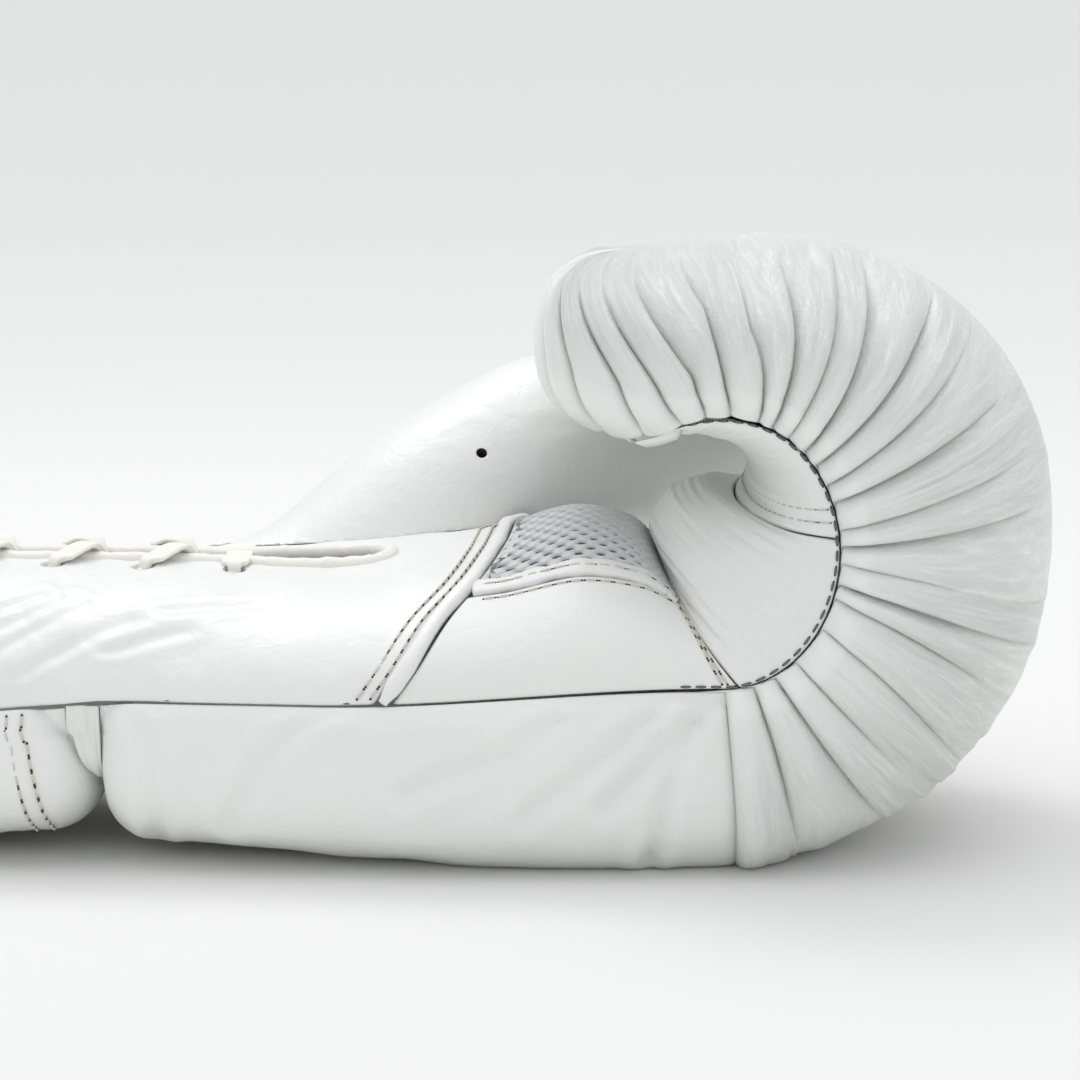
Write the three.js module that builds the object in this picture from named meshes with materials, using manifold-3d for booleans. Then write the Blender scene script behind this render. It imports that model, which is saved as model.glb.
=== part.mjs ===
// A lace-up boxing glove for the left hand, in millimetres. It lies on its back, palm up,
// with the fingers along +X and the thumb on the +Y side.
// The glove is described along one line that starts at the cuff's mouth, runs under the palm,
// turns over the knuckles and ends at the curled fingertips. A place on that line is a number:
// -1 to 0 is the cuff, 0 to 1 the back of the hand, 1 to 2 the lower knuckles, 2 to 3 the upper
// knuckles and 3 to 4 the fingertips. Each step of 1 past 1 is a quarter turn of the curl.
import * as THREE from "three";
import { mergeVertices } from "three/addons/utils/BufferGeometryUtils.js";
import Module from "manifold-3d";

const V = (x, y, z) => new THREE.Vector3(x, y, z);
const rad = THREE.MathUtils.degToRad;
const { clamp, lerp, smoothstep } = THREE.MathUtils;

// Fist, from the notch at the wrist to the front of the knuckles.
const FIST_LENGTH = 221.5;
const FIST_HEIGHT = 142.5;
const FIST_HALF_WIDTH = 61;
const HAND_LENGTH = 141; // notch to where the curl begins
const ROCKER_RISE = 7.8; // how far the back of the hand lifts off the floor at the notch
const ROCKER_LENGTH = 115;
const SEAM_HEIGHT = 42; // side seam above the floor at the notch
const CURL_SQUARE = 2.15; // corner power of the outer turn
const CREST_LEAN = 4; // how far the back's lowest line leans forward at the knuckles

// The side seam's turn round the hollow of the curl, and the outer turn of the padding.
const HOLLOW_REACH = 26;
const SEAM_LIFT = 2.5; // how far the seam rises from the notch to the curl
const SEAM_DROP = 37; // seam's highest point below the top of the fist
const KNUCKLE_SHARE = 0.52; // height of the foremost point, as a share of FIST_HEIGHT
const TOP_LEAN = 11; // how far the top's highest line leans forward

// Fingertips, where the padded shell wraps round and under.
const TIP_OVERHANG = 42.5; // how far the fingertips reach back over the palm
const TIP_REACH = 22;
const TIP_DROP = 3.5; // their top below the top of the fist
const TIP_RISE = 22; // their thickness above and below the widest line
const TIP_START = 3.245; // place on the line where the side turns into the fingertips
const TIP_TUCK = 75; // degrees that the shell wraps under at the middle

// Padding and leather.
const KNUCKLE_PAD = 38;
const SIDE_WALL = 9;
const LEATHER = 2.4;
const SEAM_TUCK = 20; // degrees by which the shell rolls in under its widest line
const ROLL_DEPTH = 19;
const FLOOR_PRESS = 2.2; // how much of the padding is pressed flat where the fist rests
const MOST_PULL = 0.85; // deepest dent, as a share of the padding
const GAP = 0.3;
const TIP_CLEARANCE = 1.5; // between the shell's edge and the panel under the fingertips

// Cuff.
const CUFF_LENGTH = 108;
const CUFF_GAP = 8;
const CUFF_DROP = 10; // how far the seam falls from the notch to the mouth
const CUFF_CORNER = 12;
const CUFF_LEAN = 6; // how far the cuff pad's lower corner reaches into the notch
const HAND_CORNER = 8;
const GUSSET_DEPTH = 0.55; // share of the padding
const CUFF_ROLL = 2.6; // radius of the mouth's rolled edge

// Lacing.
const SLOT_LENGTH = 62; // the slot's end, from the notch towards the palm
const SLOT_HALF_WIDTH = 5.2;
const SLOT_HALF_CLOSED = 2.6; // where the lace draws it together
const ROLL_RADIUS = 2.2; // rolled edge of the slot
const LACE_WIDTH = 7;
const LACE_THICKNESS = 1.5;
const LACE_GATHERED = 3.2; // width in an eyelet and in the slot
const EYELET_RADIUS = 2.8;
const EYELET_PITCH = 21.5;
const EYELET_FIRST = 27.8;
const EYELET_ROWS = 6;
const EYELET_SPREAD = 12.5;

// Strips and the net of the palm.
const PIPING_HALF = 3;
const PIPING_HEIGHT = 2;
const PIPING_SUNK = 0.6; // its middle below the leather's outside
const MESH_EDGE_HALF = 2.6;
const MESH_EDGE_HEIGHT = 1.7;
const MESH_EDGE_SUNK = 1.2;
const MESH_TURN = 52; // degrees from the seam to the net, see palmBase
const MESH_THICKNESS = 2;
const MESH_ROWS = 7;
const MESH_COLUMNS = 6;
const MESH_OPEN = 0.66; // share of each cell that is open
const FAR_LINE = 118; // degrees to the line where the thumb's leather begins

// Thumb.
const THUMB_RADIUS = 25;
const THUMB_PAD = 8.5;
const VENT_RADIUS = 1.4;
const VENT_PLACE = 0.55; // share of the way along the thumb
const VENT_TILT = 58; // degrees from the thumb's top towards the palm
const VENT_LEAN = 10; // degrees back towards the wrist

// Width and padding along the glove. at is the place on the line, half a share of
// FIST_HALF_WIDTH, pad a share of KNUCKLE_PAD and square the section's corner power.
const SECTIONS = [
  { at: -1.0, half: 0.83, pad: 0.14, square: 2.5 },
  { at: -0.8, half: 0.82, pad: 0.3, square: 2.5 },
  { at: -0.5, half: 0.81, pad: 0.36, square: 2.5 },
  { at: -0.07, half: 0.83, pad: 0.42, square: 2.6 },
  { at: 0.2, half: 0.88, pad: 0.6, square: 2.8 },
  { at: 0.5, half: 0.95, pad: 0.72, square: 2.8 },
  { at: 1.0, half: 1.0, pad: 0.82, square: 2.7 },
  { at: 2.0, half: 0.985, pad: 1.0, square: 2.25 },
  { at: 3.0, half: 0.965, pad: 0.7, square: 2.3 },
  { at: 3.25, half: 0.95, pad: 0.6, square: 2.4 },
  { at: 4.0, half: 0.95, pad: 0.36, square: 2.4 },
];

// The palm side's centre line. along is a share of HAND_LENGTH, or of CUFF_LENGTH before the
// notch, up the height between the seam's lowest and highest line at the curl, and skew moves
// the crest towards the thumb, as a share of FIST_HALF_WIDTH.
const PALM_LINE = [
  { at: -1.0, along: -1.0, up: 0.38, skew: 0.0 },
  { at: -0.5, along: -0.5, up: 0.364, skew: 0.0 },
  { at: 0.0, along: 0.0, up: 0.352, skew: 0.04 },
  { at: 0.37, along: 0.37, up: 0.349, skew: 0.2 },
  { at: 0.64, along: 0.64, up: 0.42, skew: 0.22 },
  { at: 0.78, along: 0.77, up: 0.507, skew: 0.14 },
  { at: 0.9, along: 0.866, up: 0.467, skew: 0.08 },
  { at: 1.09, along: 0.914, up: 0.336, skew: 0.02 },
  { at: 1.38, along: 0.897, up: 0.475, skew: 0.0 },
  { at: 1.65, along: 0.93, up: 0.595, skew: 0.0 },
  { at: 1.9, along: 0.988, up: 0.633, skew: 0.0 },
  { at: 2.08, along: 1.043, up: 0.59, skew: 0.0 },
  { at: 2.28, along: 1.065, up: 0.682, skew: 0.0 },
  { at: 2.55, along: 1.043, up: 0.8, skew: 0.0 },
  { at: 2.82, along: 0.983, up: 0.864, skew: 0.0 },
  { at: 3.1, along: 0.917, up: 0.882, skew: 0.0 },
  { at: 3.245, along: 0.875, up: 0.88, skew: 0.0 },
];

// Creases of the gathered shell. seam and rim are the turn, in degrees from the foremost
// point, where the crease leaves the seam and where it fades out; depth is in shares of
// CREASE_DEPTH.
const CREASE_DEPTH = 3.6;
const CREASES = [
  { seam: -88, rim: -91, depth: 1.0 },
  { seam: -74, rim: -79, depth: 0.9 },
  { seam: -63, rim: -63, depth: 0.9 },
  { seam: -51, rim: -53, depth: 0.6 },
  { seam: -35, rim: -41, depth: 0.6 },
  { seam: -20, rim: -27, depth: 0.7 },
  { seam: -13, rim: -17, depth: 1.0 },
  { seam: -4, rim: -9, depth: 0.6 },
  { seam: 3, rim: 6, depth: 1.0 },
  { seam: 10, rim: 16, depth: 0.6 },
  { seam: 22, rim: 29, depth: 1.0 },
  { seam: 29, rim: 44, depth: 0.9 },
  { seam: 39, rim: 53, depth: 1.0 },
  { seam: 46, rim: 68, depth: 1.0 },
  { seam: 57, rim: 75, depth: 0.6 },
  { seam: 66, rim: 83, depth: 1.0 },
  { seam: 73, rim: 96, depth: 0.9 },
  { seam: 86, rim: 115, depth: 1.0 },
  { seam: 95, rim: 133, depth: 0.9 },
  { seam: 108, rim: 146, depth: 0.9 },
  { seam: 121, rim: 161, depth: 0.9 },
  { seam: 146, rim: 166, depth: 0.9 },
  { seam: 165, rim: 172, depth: 0.8 },
];

// Thumb's centre line from inside the palm to its tip. along is a share of FIST_LENGTH, out a
// share of FIST_HALF_WIDTH, up a share of FIST_HEIGHT and girth a share of THUMB_RADIUS.
const THUMB_LINE = [
  { at: 0, along: 0.03, out: 0.36, up: 0.29, girth: 0.66 },
  { at: 0.2, along: 0.175, out: 0.62, up: 0.335, girth: 0.82 },
  { at: 0.42, along: 0.32, out: 0.88, up: 0.455, girth: 1.02 },
  { at: 0.65, along: 0.45, out: 1.12, up: 0.56, girth: 1.03 },
  { at: 0.85, along: 0.575, out: 1.3, up: 0.59, girth: 1.0 },
  { at: 1, along: 0.68, out: 1.36, up: 0.6, girth: 0.92 },
];

// A smooth curve through a table's rows, read at a place.
function table(rows) {
  const columns = Object.keys(rows[0]).filter((name) => name !== "at");
  return (place) => {
    const last = rows.length - 1;
    let i = 0;
    while (i < last - 1 && place > rows[i + 1].at) i++;
    const a = rows[i];
    const b = rows[i + 1];
    const before = rows[Math.max(0, i - 1)];
    const after = rows[Math.min(last, i + 2)];
    const span = b.at - a.at;
    const t = clamp((place - a.at) / span, 0, 1);
    const found = {};
    for (const name of columns) {
      const m0 = ((b[name] - before[name]) / (b.at - before.at)) * span;
      const m1 = ((after[name] - a[name]) / (after.at - a.at)) * span;
      found[name] =
        (2 * t ** 3 - 3 * t ** 2 + 1) * a[name] + (t ** 3 - 2 * t ** 2 + t) * m0 +
        (3 * t ** 2 - 2 * t ** 3) * b[name] + (t ** 3 - t ** 2) * m1;
    }
    return found;
  };
}
const sectionAt = table(SECTIONS);
const palmLineAt = table(PALM_LINE);
const thumbLineAt = table(THUMB_LINE);

// A cosine or sine raised to a power, with its sign kept.
const rounded = (value, power) => Math.sign(value) * Math.abs(value) ** power;
const turnOf = (place) => (place - 2) * 90;
const placeOfTurn = (turn) => 2 + turn / 90;
const alongOf = (place) => (place < 0 ? place * CUFF_LENGTH : place * HAND_LENGTH);

// The side seam in the XZ plane, for places up to the fingertips.
const SEAM_LOW = SEAM_HEIGHT + SEAM_LIFT;
const SEAM_TOP = FIST_HEIGHT - SEAM_DROP;
const TIP_CENTRE = V(HAND_LENGTH - TIP_OVERHANG + TIP_REACH, 0, FIST_HEIGHT - TIP_DROP - TIP_RISE);
function seamPoint(place) {
  if (place <= 0) return V(alongOf(place), 0, SEAM_HEIGHT + CUFF_DROP * place);
  if (place <= 1) return V(alongOf(place), 0, lerp(SEAM_HEIGHT, SEAM_LOW, smoothstep(place, 0, 1)));
  const turn = rad(turnOf(place));
  const middle = (SEAM_LOW + SEAM_TOP) / 2;
  return V(HAND_LENGTH + HOLLOW_REACH * Math.cos(turn), 0,
    middle + (SEAM_TOP - middle) * Math.sin(turn));
}

// The padding's outermost line in the XZ plane. Past the fingertips' start it stays on their top.
function crownPoint(place) {
  const x = alongOf(place);
  if (place < 0) return V(x, 0, lerp(ROCKER_RISE + 1.4, 0, -place));
  if (place <= 1) {
    const rise = ROCKER_RISE * Math.max(0, 1 - x / ROCKER_LENGTH) ** 1.6;
    const press = FLOOR_PRESS * smoothstep(place, 0.4, 0.85);
    return V(x + CREST_LEAN * smoothstep(place, 0.55, 1), 0, rise - press);
  }
  const turn = rad(turnOf(place));
  const power = 2 / CURL_SQUARE;
  const c = rounded(Math.cos(turn), power);
  const s = rounded(Math.sin(turn), power);
  const height = KNUCKLE_SHARE * FIST_HEIGHT;
  if (place <= 2) {
    const from = HAND_LENGTH + CREST_LEAN;
    return V(lerp(from, FIST_LENGTH, c), 0, height + (height + FLOOR_PRESS) * s);
  }
  const from = HAND_LENGTH + TOP_LEAN;
  if (place <= 3) return V(lerp(from, FIST_LENGTH, c), 0, lerp(height, FIST_HEIGHT, s));
  const back = 1 - (4 - place) ** 2;
  return V(lerp(from, TIP_CENTRE.x, back), 0, FIST_HEIGHT - TIP_DROP * back);
}

// The half section at a place: centre, side and crown arms, the roll under the side, and the
// angle in degrees where the seam lies.
function frameAt(place) {
  const { half, pad, square } = sectionAt(place);
  const width = half * FIST_HALF_WIDTH;
  const seam = seamPoint(Math.min(place, TIP_START));
  const out = crownPoint(place).sub(seam).normalize();
  const roll = ROLL_DEPTH * Math.sin(rad(SEAM_TUCK)) ** (2 / square);
  const curl = clamp((place - TIP_START) / (4 - TIP_START), 0, 1);
  const centre = seam.clone().addScaledVector(out, roll).lerp(TIP_CENTRE, smoothstep(curl, 0, 1));
  const plan = rad(90 * (1 - curl));
  const power = 2 / square;
  return {
    centre,
    side: V(-TIP_REACH * rounded(Math.cos(plan), power), -width * rounded(Math.sin(plan), power), 0),
    crown: crownPoint(place).sub(centre),
    start: -lerp(SEAM_TUCK, TIP_TUCK, curl ** 0.8),
    pad: pad * KNUCKLE_PAD,
    power,
  };
}

// A point of the shell: angle runs from the frame's start, at the seam, to 90 on the crown.
// deep moves it inwards by a share of the wall, inset by a length.
function shellPoint(place, angle, { deep = 0, inset = 0 } = {}) {
  const f = frameAt(place);
  const a = rad(angle);
  const c = rounded(Math.cos(a), f.power);
  const s = rounded(Math.sin(a), f.power);
  const reach = f.side.length();
  const rise = angle < 0 ? ROLL_DEPTH : f.crown.length();
  const edge = angle < 0 ? lerp(SIDE_WALL, LEATHER, angle / f.start) : SIDE_WALL;
  const wallUp = angle < 0 ? edge : lerp(SIDE_WALL, f.pad, smoothstep(angle, 0, 60));
  const pull = deep * edge + Math.min(inset, MOST_PULL * edge);
  const pullUp = deep * wallUp + Math.min(inset, MOST_PULL * wallUp);
  const up = f.crown.clone().normalize();
  return f.centre.clone()
    .addScaledVector(f.side, (c * (reach - pull)) / reach)
    .addScaledVector(up, s * (rise - pullUp));
}
const mirrored = (p) => V(p.x, -p.y, p.z);
const arch = (half) => [...half, ...half.slice(0, -1).reverse().map(mirrored)];
const steps = (from, to, count) =>
  Array.from({ length: count + 1 }, (_, i) => lerp(from, to, i / count));

// Closed geometry from points and faces: equal points joined, empty faces dropped, faces out.
function closedGeometry(positions, faces) {
  const raw = new THREE.BufferGeometry()
    .setAttribute("position", new THREE.Float32BufferAttribute(positions, 3))
    .setIndex(faces);
  const merged = mergeVertices(raw, 1e-3);
  const at = merged.attributes.position;
  const kept = [];
  let volume = 0;
  for (let i = 0; i < merged.index.count; i += 3) {
    const [p, q, r] = [0, 1, 2].map((k) => merged.index.getX(i + k));
    if (p === q || q === r || r === p) continue;
    kept.push(p, q, r);
    const [a, b, c] = [p, q, r].map((k) => V(0, 0, 0).fromBufferAttribute(at, k));
    volume += a.dot(b.cross(c));
  }
  if (volume < 0) kept.reverse();
  return merged.setIndex(kept);
}

// A wall between two grids of points. zip leaves the last row open where its halves meet.
function wall(outer, inner, { zip = false } = {}) {
  const positions = [];
  const faces = [];
  const number = (grid) => grid.map((row) => row.map((p) => positions.push(p.x, p.y, p.z) / 3 - 1));
  const o = number(outer);
  const n = number(inner);
  const quad = (a, b, c, d) => faces.push(a, b, c, a, c, d);
  const last = o.length - 1;
  const edge = o[0].length - 1;
  for (let j = 0; j < edge; j++) {
    const k = j + 1;
    for (let i = 0; i < last; i++) {
      quad(o[i][j], o[i + 1][j], o[i + 1][k], o[i][k]);
      quad(n[i][j], n[i][k], n[i + 1][k], n[i + 1][j]);
    }
    quad(o[0][j], o[0][k], n[0][k], n[0][j]);
    if (!zip) quad(o[last][j], n[last][j], n[last][k], o[last][k]);
  }
  for (let i = 0; i < last; i++) {
    quad(o[i][0], n[i][0], n[i + 1][0], o[i + 1][0]);
    quad(o[i][edge], o[i + 1][edge], n[i + 1][edge], n[i][edge]);
  }
  return closedGeometry(positions, faces);
}

// A solid bar through rings of points, closed at each end by a fan round its middle.
function bar(rings) {
  const positions = [];
  const faces = [];
  const sides = rings[0].length;
  const put = (p) => positions.push(p.x, p.y, p.z) / 3 - 1;
  rings.flat().forEach(put);
  const middle = (ring) => ring.reduce((sum, p) => sum.add(p), V(0, 0, 0)).divideScalar(sides);
  const last = rings.length - 1;
  const first = put(middle(rings[0]));
  const end = put(middle(rings[last]));
  for (let j = 0; j < sides; j++) {
    const k = (j + 1) % sides;
    for (let i = 0; i < last; i++) {
      const [a, b, c, d] = [i * sides + j, (i + 1) * sides + j, (i + 1) * sides + k, i * sides + k];
      faces.push(a, b, c, a, c, d);
    }
    faces.push(first, j, k, end, last * sides + k, last * sides + j);
  }
  return closedGeometry(positions, faces);
}

// Geometry to a solid and back, for cuts and joins.
const wasm = await Module();
wasm.setup();
function solid(geometry) {
  const loose = geometry.index ? geometry.toNonIndexed() : geometry;
  const bare = mergeVertices(new THREE.BufferGeometry()
    .setAttribute("position", loose.getAttribute("position")), 1e-4);
  return new wasm.Manifold(new wasm.Mesh({
    numProp: 3,
    vertProperties: new Float32Array(bare.attributes.position.array),
    triVerts: new Uint32Array(bare.index.array),
  }));
}
function geometryOf(made) {
  const mesh = made.getMesh();
  return closedGeometry([...mesh.vertProperties], [...mesh.triVerts]);
}
const cut = (geometry, ...tools) =>
  geometryOf(tools.reduce((made, tool) => made.subtract(solid(tool)), solid(geometry)));
const joined = (first, ...others) =>
  geometryOf(others.reduce((made, other) => made.add(solid(other)), solid(first)));

// How far a padded end's corner is drawn in, at a distance from that end.
const cornerInset = (distance, radius) =>
  distance >= radius ? 0 : radius - Math.sqrt(radius ** 2 - (radius - distance) ** 2);

// Hand shell: the padded leather from the notch over the knuckles to the fingertips. Its rows
// run from the seam (share 0) over the widest line (1) to the crown (2).
const SHELL_SHARES = [0, 0.5, 1, 1.16, 1.44, 1.8, 2];
const NOTCH_PLACES = [0, 0.012, 0.03, 0.06, 0.2, 0.4, 0.6, 0.78, 0.92];
const DEEP_CREASE = 0.95;
const shellAngle = (start, share) => (share <= 1 ? start * (1 - share) : 90 * (share - 1));
const creaseFade = (share) => smoothstep(share, -0.35, 0.7) * (1 - smoothstep(share, 1.15, 1.8));

function shellColumns() {
  const columns = NOTCH_PLACES.map((place) => ({ seam: place, rim: place, dent: 0 }));
  CREASES.forEach((crease, i) => {
    const next = CREASES[i + 1] ?? { seam: 180, rim: 180, depth: 0 };
    const phases = crease.depth > DEEP_CREASE ? [0, 0.3, 0.7] : [0, 0.5];
    for (const phase of phases) {
      const depth = lerp(crease.depth, next.depth, phase);
      columns.push({
        seam: placeOfTurn(lerp(crease.seam, next.seam, phase)),
        rim: placeOfTurn(lerp(crease.rim, next.rim, phase)),
        dent: depth * CREASE_DEPTH * (1 - Math.sin(Math.PI * phase) ** 0.7),
      });
    }
  });
  columns.push({ seam: 4, rim: 4, dent: 0 });
  return columns;
}
function shellRow(column, deep, swell) {
  return arch(SHELL_SHARES.map((share) => {
    const place = lerp(column.seam, column.rim, smoothstep(share, 0, 1.8));
    const angle = shellAngle(frameAt(place).start, share);
    if (deep) return shellPoint(place, angle, { deep });
    const corner = cornerInset(alongOf(Math.max(0, place)), HAND_CORNER);
    const p = shellPoint(place, angle, { inset: corner + column.dent * creaseFade(share) - swell });
    return p.setZ(Math.max(p.z, 0));
  }));
}
function handShell(swell = 0) {
  const columns = shellColumns();
  const outer = columns.map((column) => shellRow(column, 0, swell));
  return wall(outer, columns.map((column) => shellRow(column, 1, 0)), { zip: true });
}

// Cuff pad: the padded back of the cuff, and the thin gusset that joins it to the hand.
const CUFF_END = -CUFF_GAP / CUFF_LENGTH;
const CUFF_PLACES = [-1, -0.9, -0.7, -0.45, -0.22,
  ...[0.07, 0.03, 0.01, 0].map((short) => CUFF_END - short)];
function cuffLean(place, share) {
  return CUFF_LEAN * smoothstep(place, -0.5, CUFF_END) * smoothstep(share, 0.7, 1.6);
}
function cuffPoint(place, share, options) {
  const angle = shellAngle(frameAt(place).start, share);
  return shellPoint(place, angle, options).add(V(cuffLean(place, share), 0, 0));
}
function cuffPad() {
  const grid = (deep) => CUFF_PLACES.map((place) => arch(SHELL_SHARES.map((share) => {
    const corner = cornerInset((CUFF_END - place) * CUFF_LENGTH, CUFF_CORNER);
    return cuffPoint(place, share, { deep, inset: deep ? 0 : corner });
  })));
  return wall(grid(0), grid(1));
}
function wristGusset() {
  const row = (side, inset) => arch(SHELL_SHARES.map((share) => {
    const left = cuffPoint(CUFF_END, share, {}).x + GAP;
    const place = CUFF_END / 2;
    const p = shellPoint(place, shellAngle(frameAt(place).start, share), { deep: GUSSET_DEPTH, inset });
    return p.setX(lerp(left, -GAP, side));
  }));
  return wall([0, 1].map((side) => row(side, 0)), [0, 1].map((side) => row(side, LEATHER)));
}

// The palm side's centre line. Under the fingertips it runs to the shell's edge.
function palmTop(place) {
  const line = palmLineAt(Math.min(place, TIP_START));
  const x = line.along * (line.along < 0 ? CUFF_LENGTH : HAND_LENGTH);
  const top = V(x, line.skew * FIST_HALF_WIDTH, lerp(SEAM_LOW, SEAM_TOP, line.up));
  if (place <= TIP_START) return top;
  const end = shellPoint(4, frameAt(4).start).add(V(TIP_CLEARANCE, 0, 0));
  return top.lerp(end, 1 - ((4 - place) / (4 - TIP_START)) ** 1.6);
}

// Powers that round the palm's section: 1 and 1 would make it half an ellipse.
const PALM_ACROSS = 0.88;
const PALM_UP = 0.95;

// A point of the palm side. angle runs from 0 at the near seam over 90 at the crest to 180 at
// the thumb side's seam, and lift moves it outwards.
function palmBase(place, angle) {
  const seam = shellPoint(place, frameAt(place).start);
  const top = palmTop(place);
  const a = rad(angle);
  const from = V(seam.x, 0, seam.z);
  const way = V(top.x, 0, top.z).sub(from);
  const tips = smoothstep(place, 2.6, TIP_START);
  const clear = lerp(GAP, TIP_CLEARANCE, tips);
  const half = Math.max(Math.abs(seam.y) - tips * (LEATHER + 4 * GAP), 0);
  from.addScaledVector(way, clear / Math.max(way.length(), clear));
  const across = rounded(Math.cos(a), PALM_ACROSS);
  const y = top.y - across * (half + Math.sign(across) * top.y);
  return from.lerp(top, Math.sin(a) ** PALM_UP).setY(y);
}
function palmNormal(place, angle) {
  const turn = clamp(angle, 0.4, 179.6);
  const at = clamp(place, -1, 3.96);
  const along = palmBase(at + 0.004, turn).sub(palmBase(at - 0.004, turn));
  const across = palmBase(at, turn + 0.3).sub(palmBase(at, turn - 0.3));
  return along.cross(across).normalize();
}
const palmPoint = (place, angle, lift = 0) =>
  palmBase(place, angle).addScaledVector(palmNormal(place, angle), lift);

// A point of the palm side over a given x and y of the wrist, found by halving.
function palmOver(x, y, lift) {
  const place = x < 0 ? x / CUFF_LENGTH : x / HAND_LENGTH;
  let [low, high] = [0, 180];
  for (let i = 0; i < 24; i++) {
    const middle = (low + high) / 2;
    if (palmBase(place, middle).y < y) low = middle;
    else high = middle;
  }
  return palmPoint(place, low, lift);
}

// Where the palm side's pieces end. Each takes an angle and gives a place on the line.
const HEEL_NEAR = 0.473; // at the near seam
const HEEL_CREST = 0.641;
const HEEL_THUMB = 0.706; // beside the thumb
function heelEnd(angle) {
  if (angle > 90) return lerp(HEEL_CREST, HEEL_THUMB, smoothstep(angle, 90, 135));
  return lerp(HEEL_NEAR, HEEL_CREST, Math.sin(rad(angle)) ** 2.4);
}
const fingerStart = (angle) => 1.09 - 0.03 * Math.sin(rad(angle)) ** 2;
const FOLD = 2.07;
const EDGE_SHIFT = (2 * GAP) / HAND_LENGTH;
const PIPING_TO = FAR_LINE - 5;
function pipingShift(angle) {
  const half = PIPING_HALF * (1 - smoothstep(angle, PIPING_TO + 3, PIPING_TO + 12));
  return EDGE_SHIFT + half / HAND_LENGTH;
}
const EDGE_TURN = 4.5; // degrees from the middle of a mesh edge to the leather beside it

// A thin panel of the palm side between two places, over a range of angles.
function panelGrid(start, end, angles, rows, lift) {
  return steps(0, 1, rows).map((share) => angles.map((angle) =>
    palmPoint(lerp(start(angle), end(angle), share), angle, lift)));
}
function panel(start, end, angles, rows, thickness = LEATHER) {
  return wall(panelGrid(start, end, angles, rows, 0), panelGrid(start, end, angles, rows, -thickness));
}
const palmFrom = (angle) => heelEnd(angle) + pipingShift(angle);
const palmTo = (angle) => fingerStart(angle) - EDGE_SHIFT;

// The net: each cell of a grid is a frame round a diamond that is open right through.
function net(outer, inner) {
  const positions = [];
  const faces = [];
  const put = (p) => positions.push(p.x, p.y, p.z) / 3 - 1;
  const quad = (a, b, c, d) => faces.push(a, b, c, a, c, d);
  const last = outer.length - 1;
  const edge = outer[0].length - 1;
  const corners = (grid, i, j) => [grid[i][j], grid[i + 1][j], grid[i + 1][j + 1], grid[i][j + 1]];
  const rims = (grid, i, j) => {
    const round = corners(grid, i, j);
    const middle = round.reduce((sum, p) => sum.add(p), V(0, 0, 0)).divideScalar(4);
    return round.map((p, k) => p.clone().lerp(round[(k + 1) % 4], 0.5).lerp(middle, 1 - MESH_OPEN));
  };
  for (let i = 0; i < last; i++) {
    for (let j = 0; j < edge; j++) {
      const [o, n] = [outer, inner].map((grid) => corners(grid, i, j).map(put));
      const [p, q] = [outer, inner].map((grid) => rims(grid, i, j).map(put));
      for (let k = 0; k < 4; k++) {
        const m = (k + 1) % 4;
        faces.push(o[k], o[m], p[k], p[k], o[m], p[m], n[m], n[k], q[k], n[m], q[k], q[m]);
        quad(q[k], p[k], p[m], q[m]);
      }
      const sides = [j === 0, i === last - 1, j === edge - 1, i === 0];
      sides.forEach((outside, k) => outside && quad(o[k], n[k], n[(k + 1) % 4], o[(k + 1) % 4]));
    }
  }
  return closedGeometry(positions, faces);
}
function palmMesh() {
  const angles = steps(MESH_TURN + EDGE_TURN, 180 - MESH_TURN - EDGE_TURN, MESH_COLUMNS);
  const grid = (lift) => panelGrid(palmFrom, palmTo, angles, MESH_ROWS, lift);
  return net(grid(0), grid(-MESH_THICKNESS));
}

// A rolled strip of oval section along a route. Each stop has its point and its up direction.
function roll(stops, half, height, sides) {
  return bar(stops.map(({ point, up }, i) => {
    const before = stops[Math.max(0, i - 1)].point;
    const after = stops[Math.min(stops.length - 1, i + 1)].point;
    const along = after.clone().sub(before).normalize();
    const side = along.clone().cross(up).normalize();
    const rise = side.clone().cross(along);
    return steps(0, 360, sides).slice(0, -1).map((turn) => point.clone()
      .addScaledVector(side, half * Math.cos(rad(turn)))
      .addScaledVector(rise, height * Math.sin(rad(turn))));
  }));
}
const palmStop = (place, angle, lift) =>
  ({ point: palmPoint(place, angle, lift), up: palmNormal(place, angle) });

function heelPiping() {
  const stops = steps(3, PIPING_TO, 14)
    .map((angle) => palmStop(heelEnd(angle), angle, -PIPING_SUNK));
  return roll(stops, PIPING_HALF, PIPING_HEIGHT, 8);
}
function meshEdge(angle) {
  const from = palmFrom(angle) + 0.01;
  const stops = steps(from, palmTo(angle) - 0.02, 7)
    .map((place) => palmStop(place, angle, -MESH_EDGE_SUNK));
  return roll(stops, MESH_EDGE_HALF, MESH_EDGE_HEIGHT, 8);
}

// Lacing slot: its outline is drawn outwards by extra from the open slot.
const SLOT_OPENING = 14; // length in which it widens past the first eyelets
const slotHalf = (x) => lerp(SLOT_HALF_CLOSED, SLOT_HALF_WIDTH,
  smoothstep(x, EYELET_FIRST, EYELET_FIRST + SLOT_OPENING));
const SLOT_TURN_X = SLOT_LENGTH - SLOT_HALF_WIDTH;
function slotOutline(extra) {
  const widening = [0, 0.36, 0.72].map((share) => EYELET_FIRST + share * SLOT_OPENING);
  const side = [-CUFF_LENGTH, -2 * EYELET_PITCH, ...widening, SLOT_TURN_X]
    .map((x) => ({ x, y: -slotHalf(x) - extra }));
  const turn = steps(-90, 90, 8).slice(1, -1).map((angle) => ({
    x: SLOT_TURN_X + (SLOT_HALF_WIDTH + extra) * Math.cos(rad(angle)),
    y: (SLOT_HALF_WIDTH + extra) * Math.sin(rad(angle)),
  }));
  return [...side, ...turn, ...side.map(({ x, y }) => ({ x, y: -y })).reverse()];
}
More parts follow.
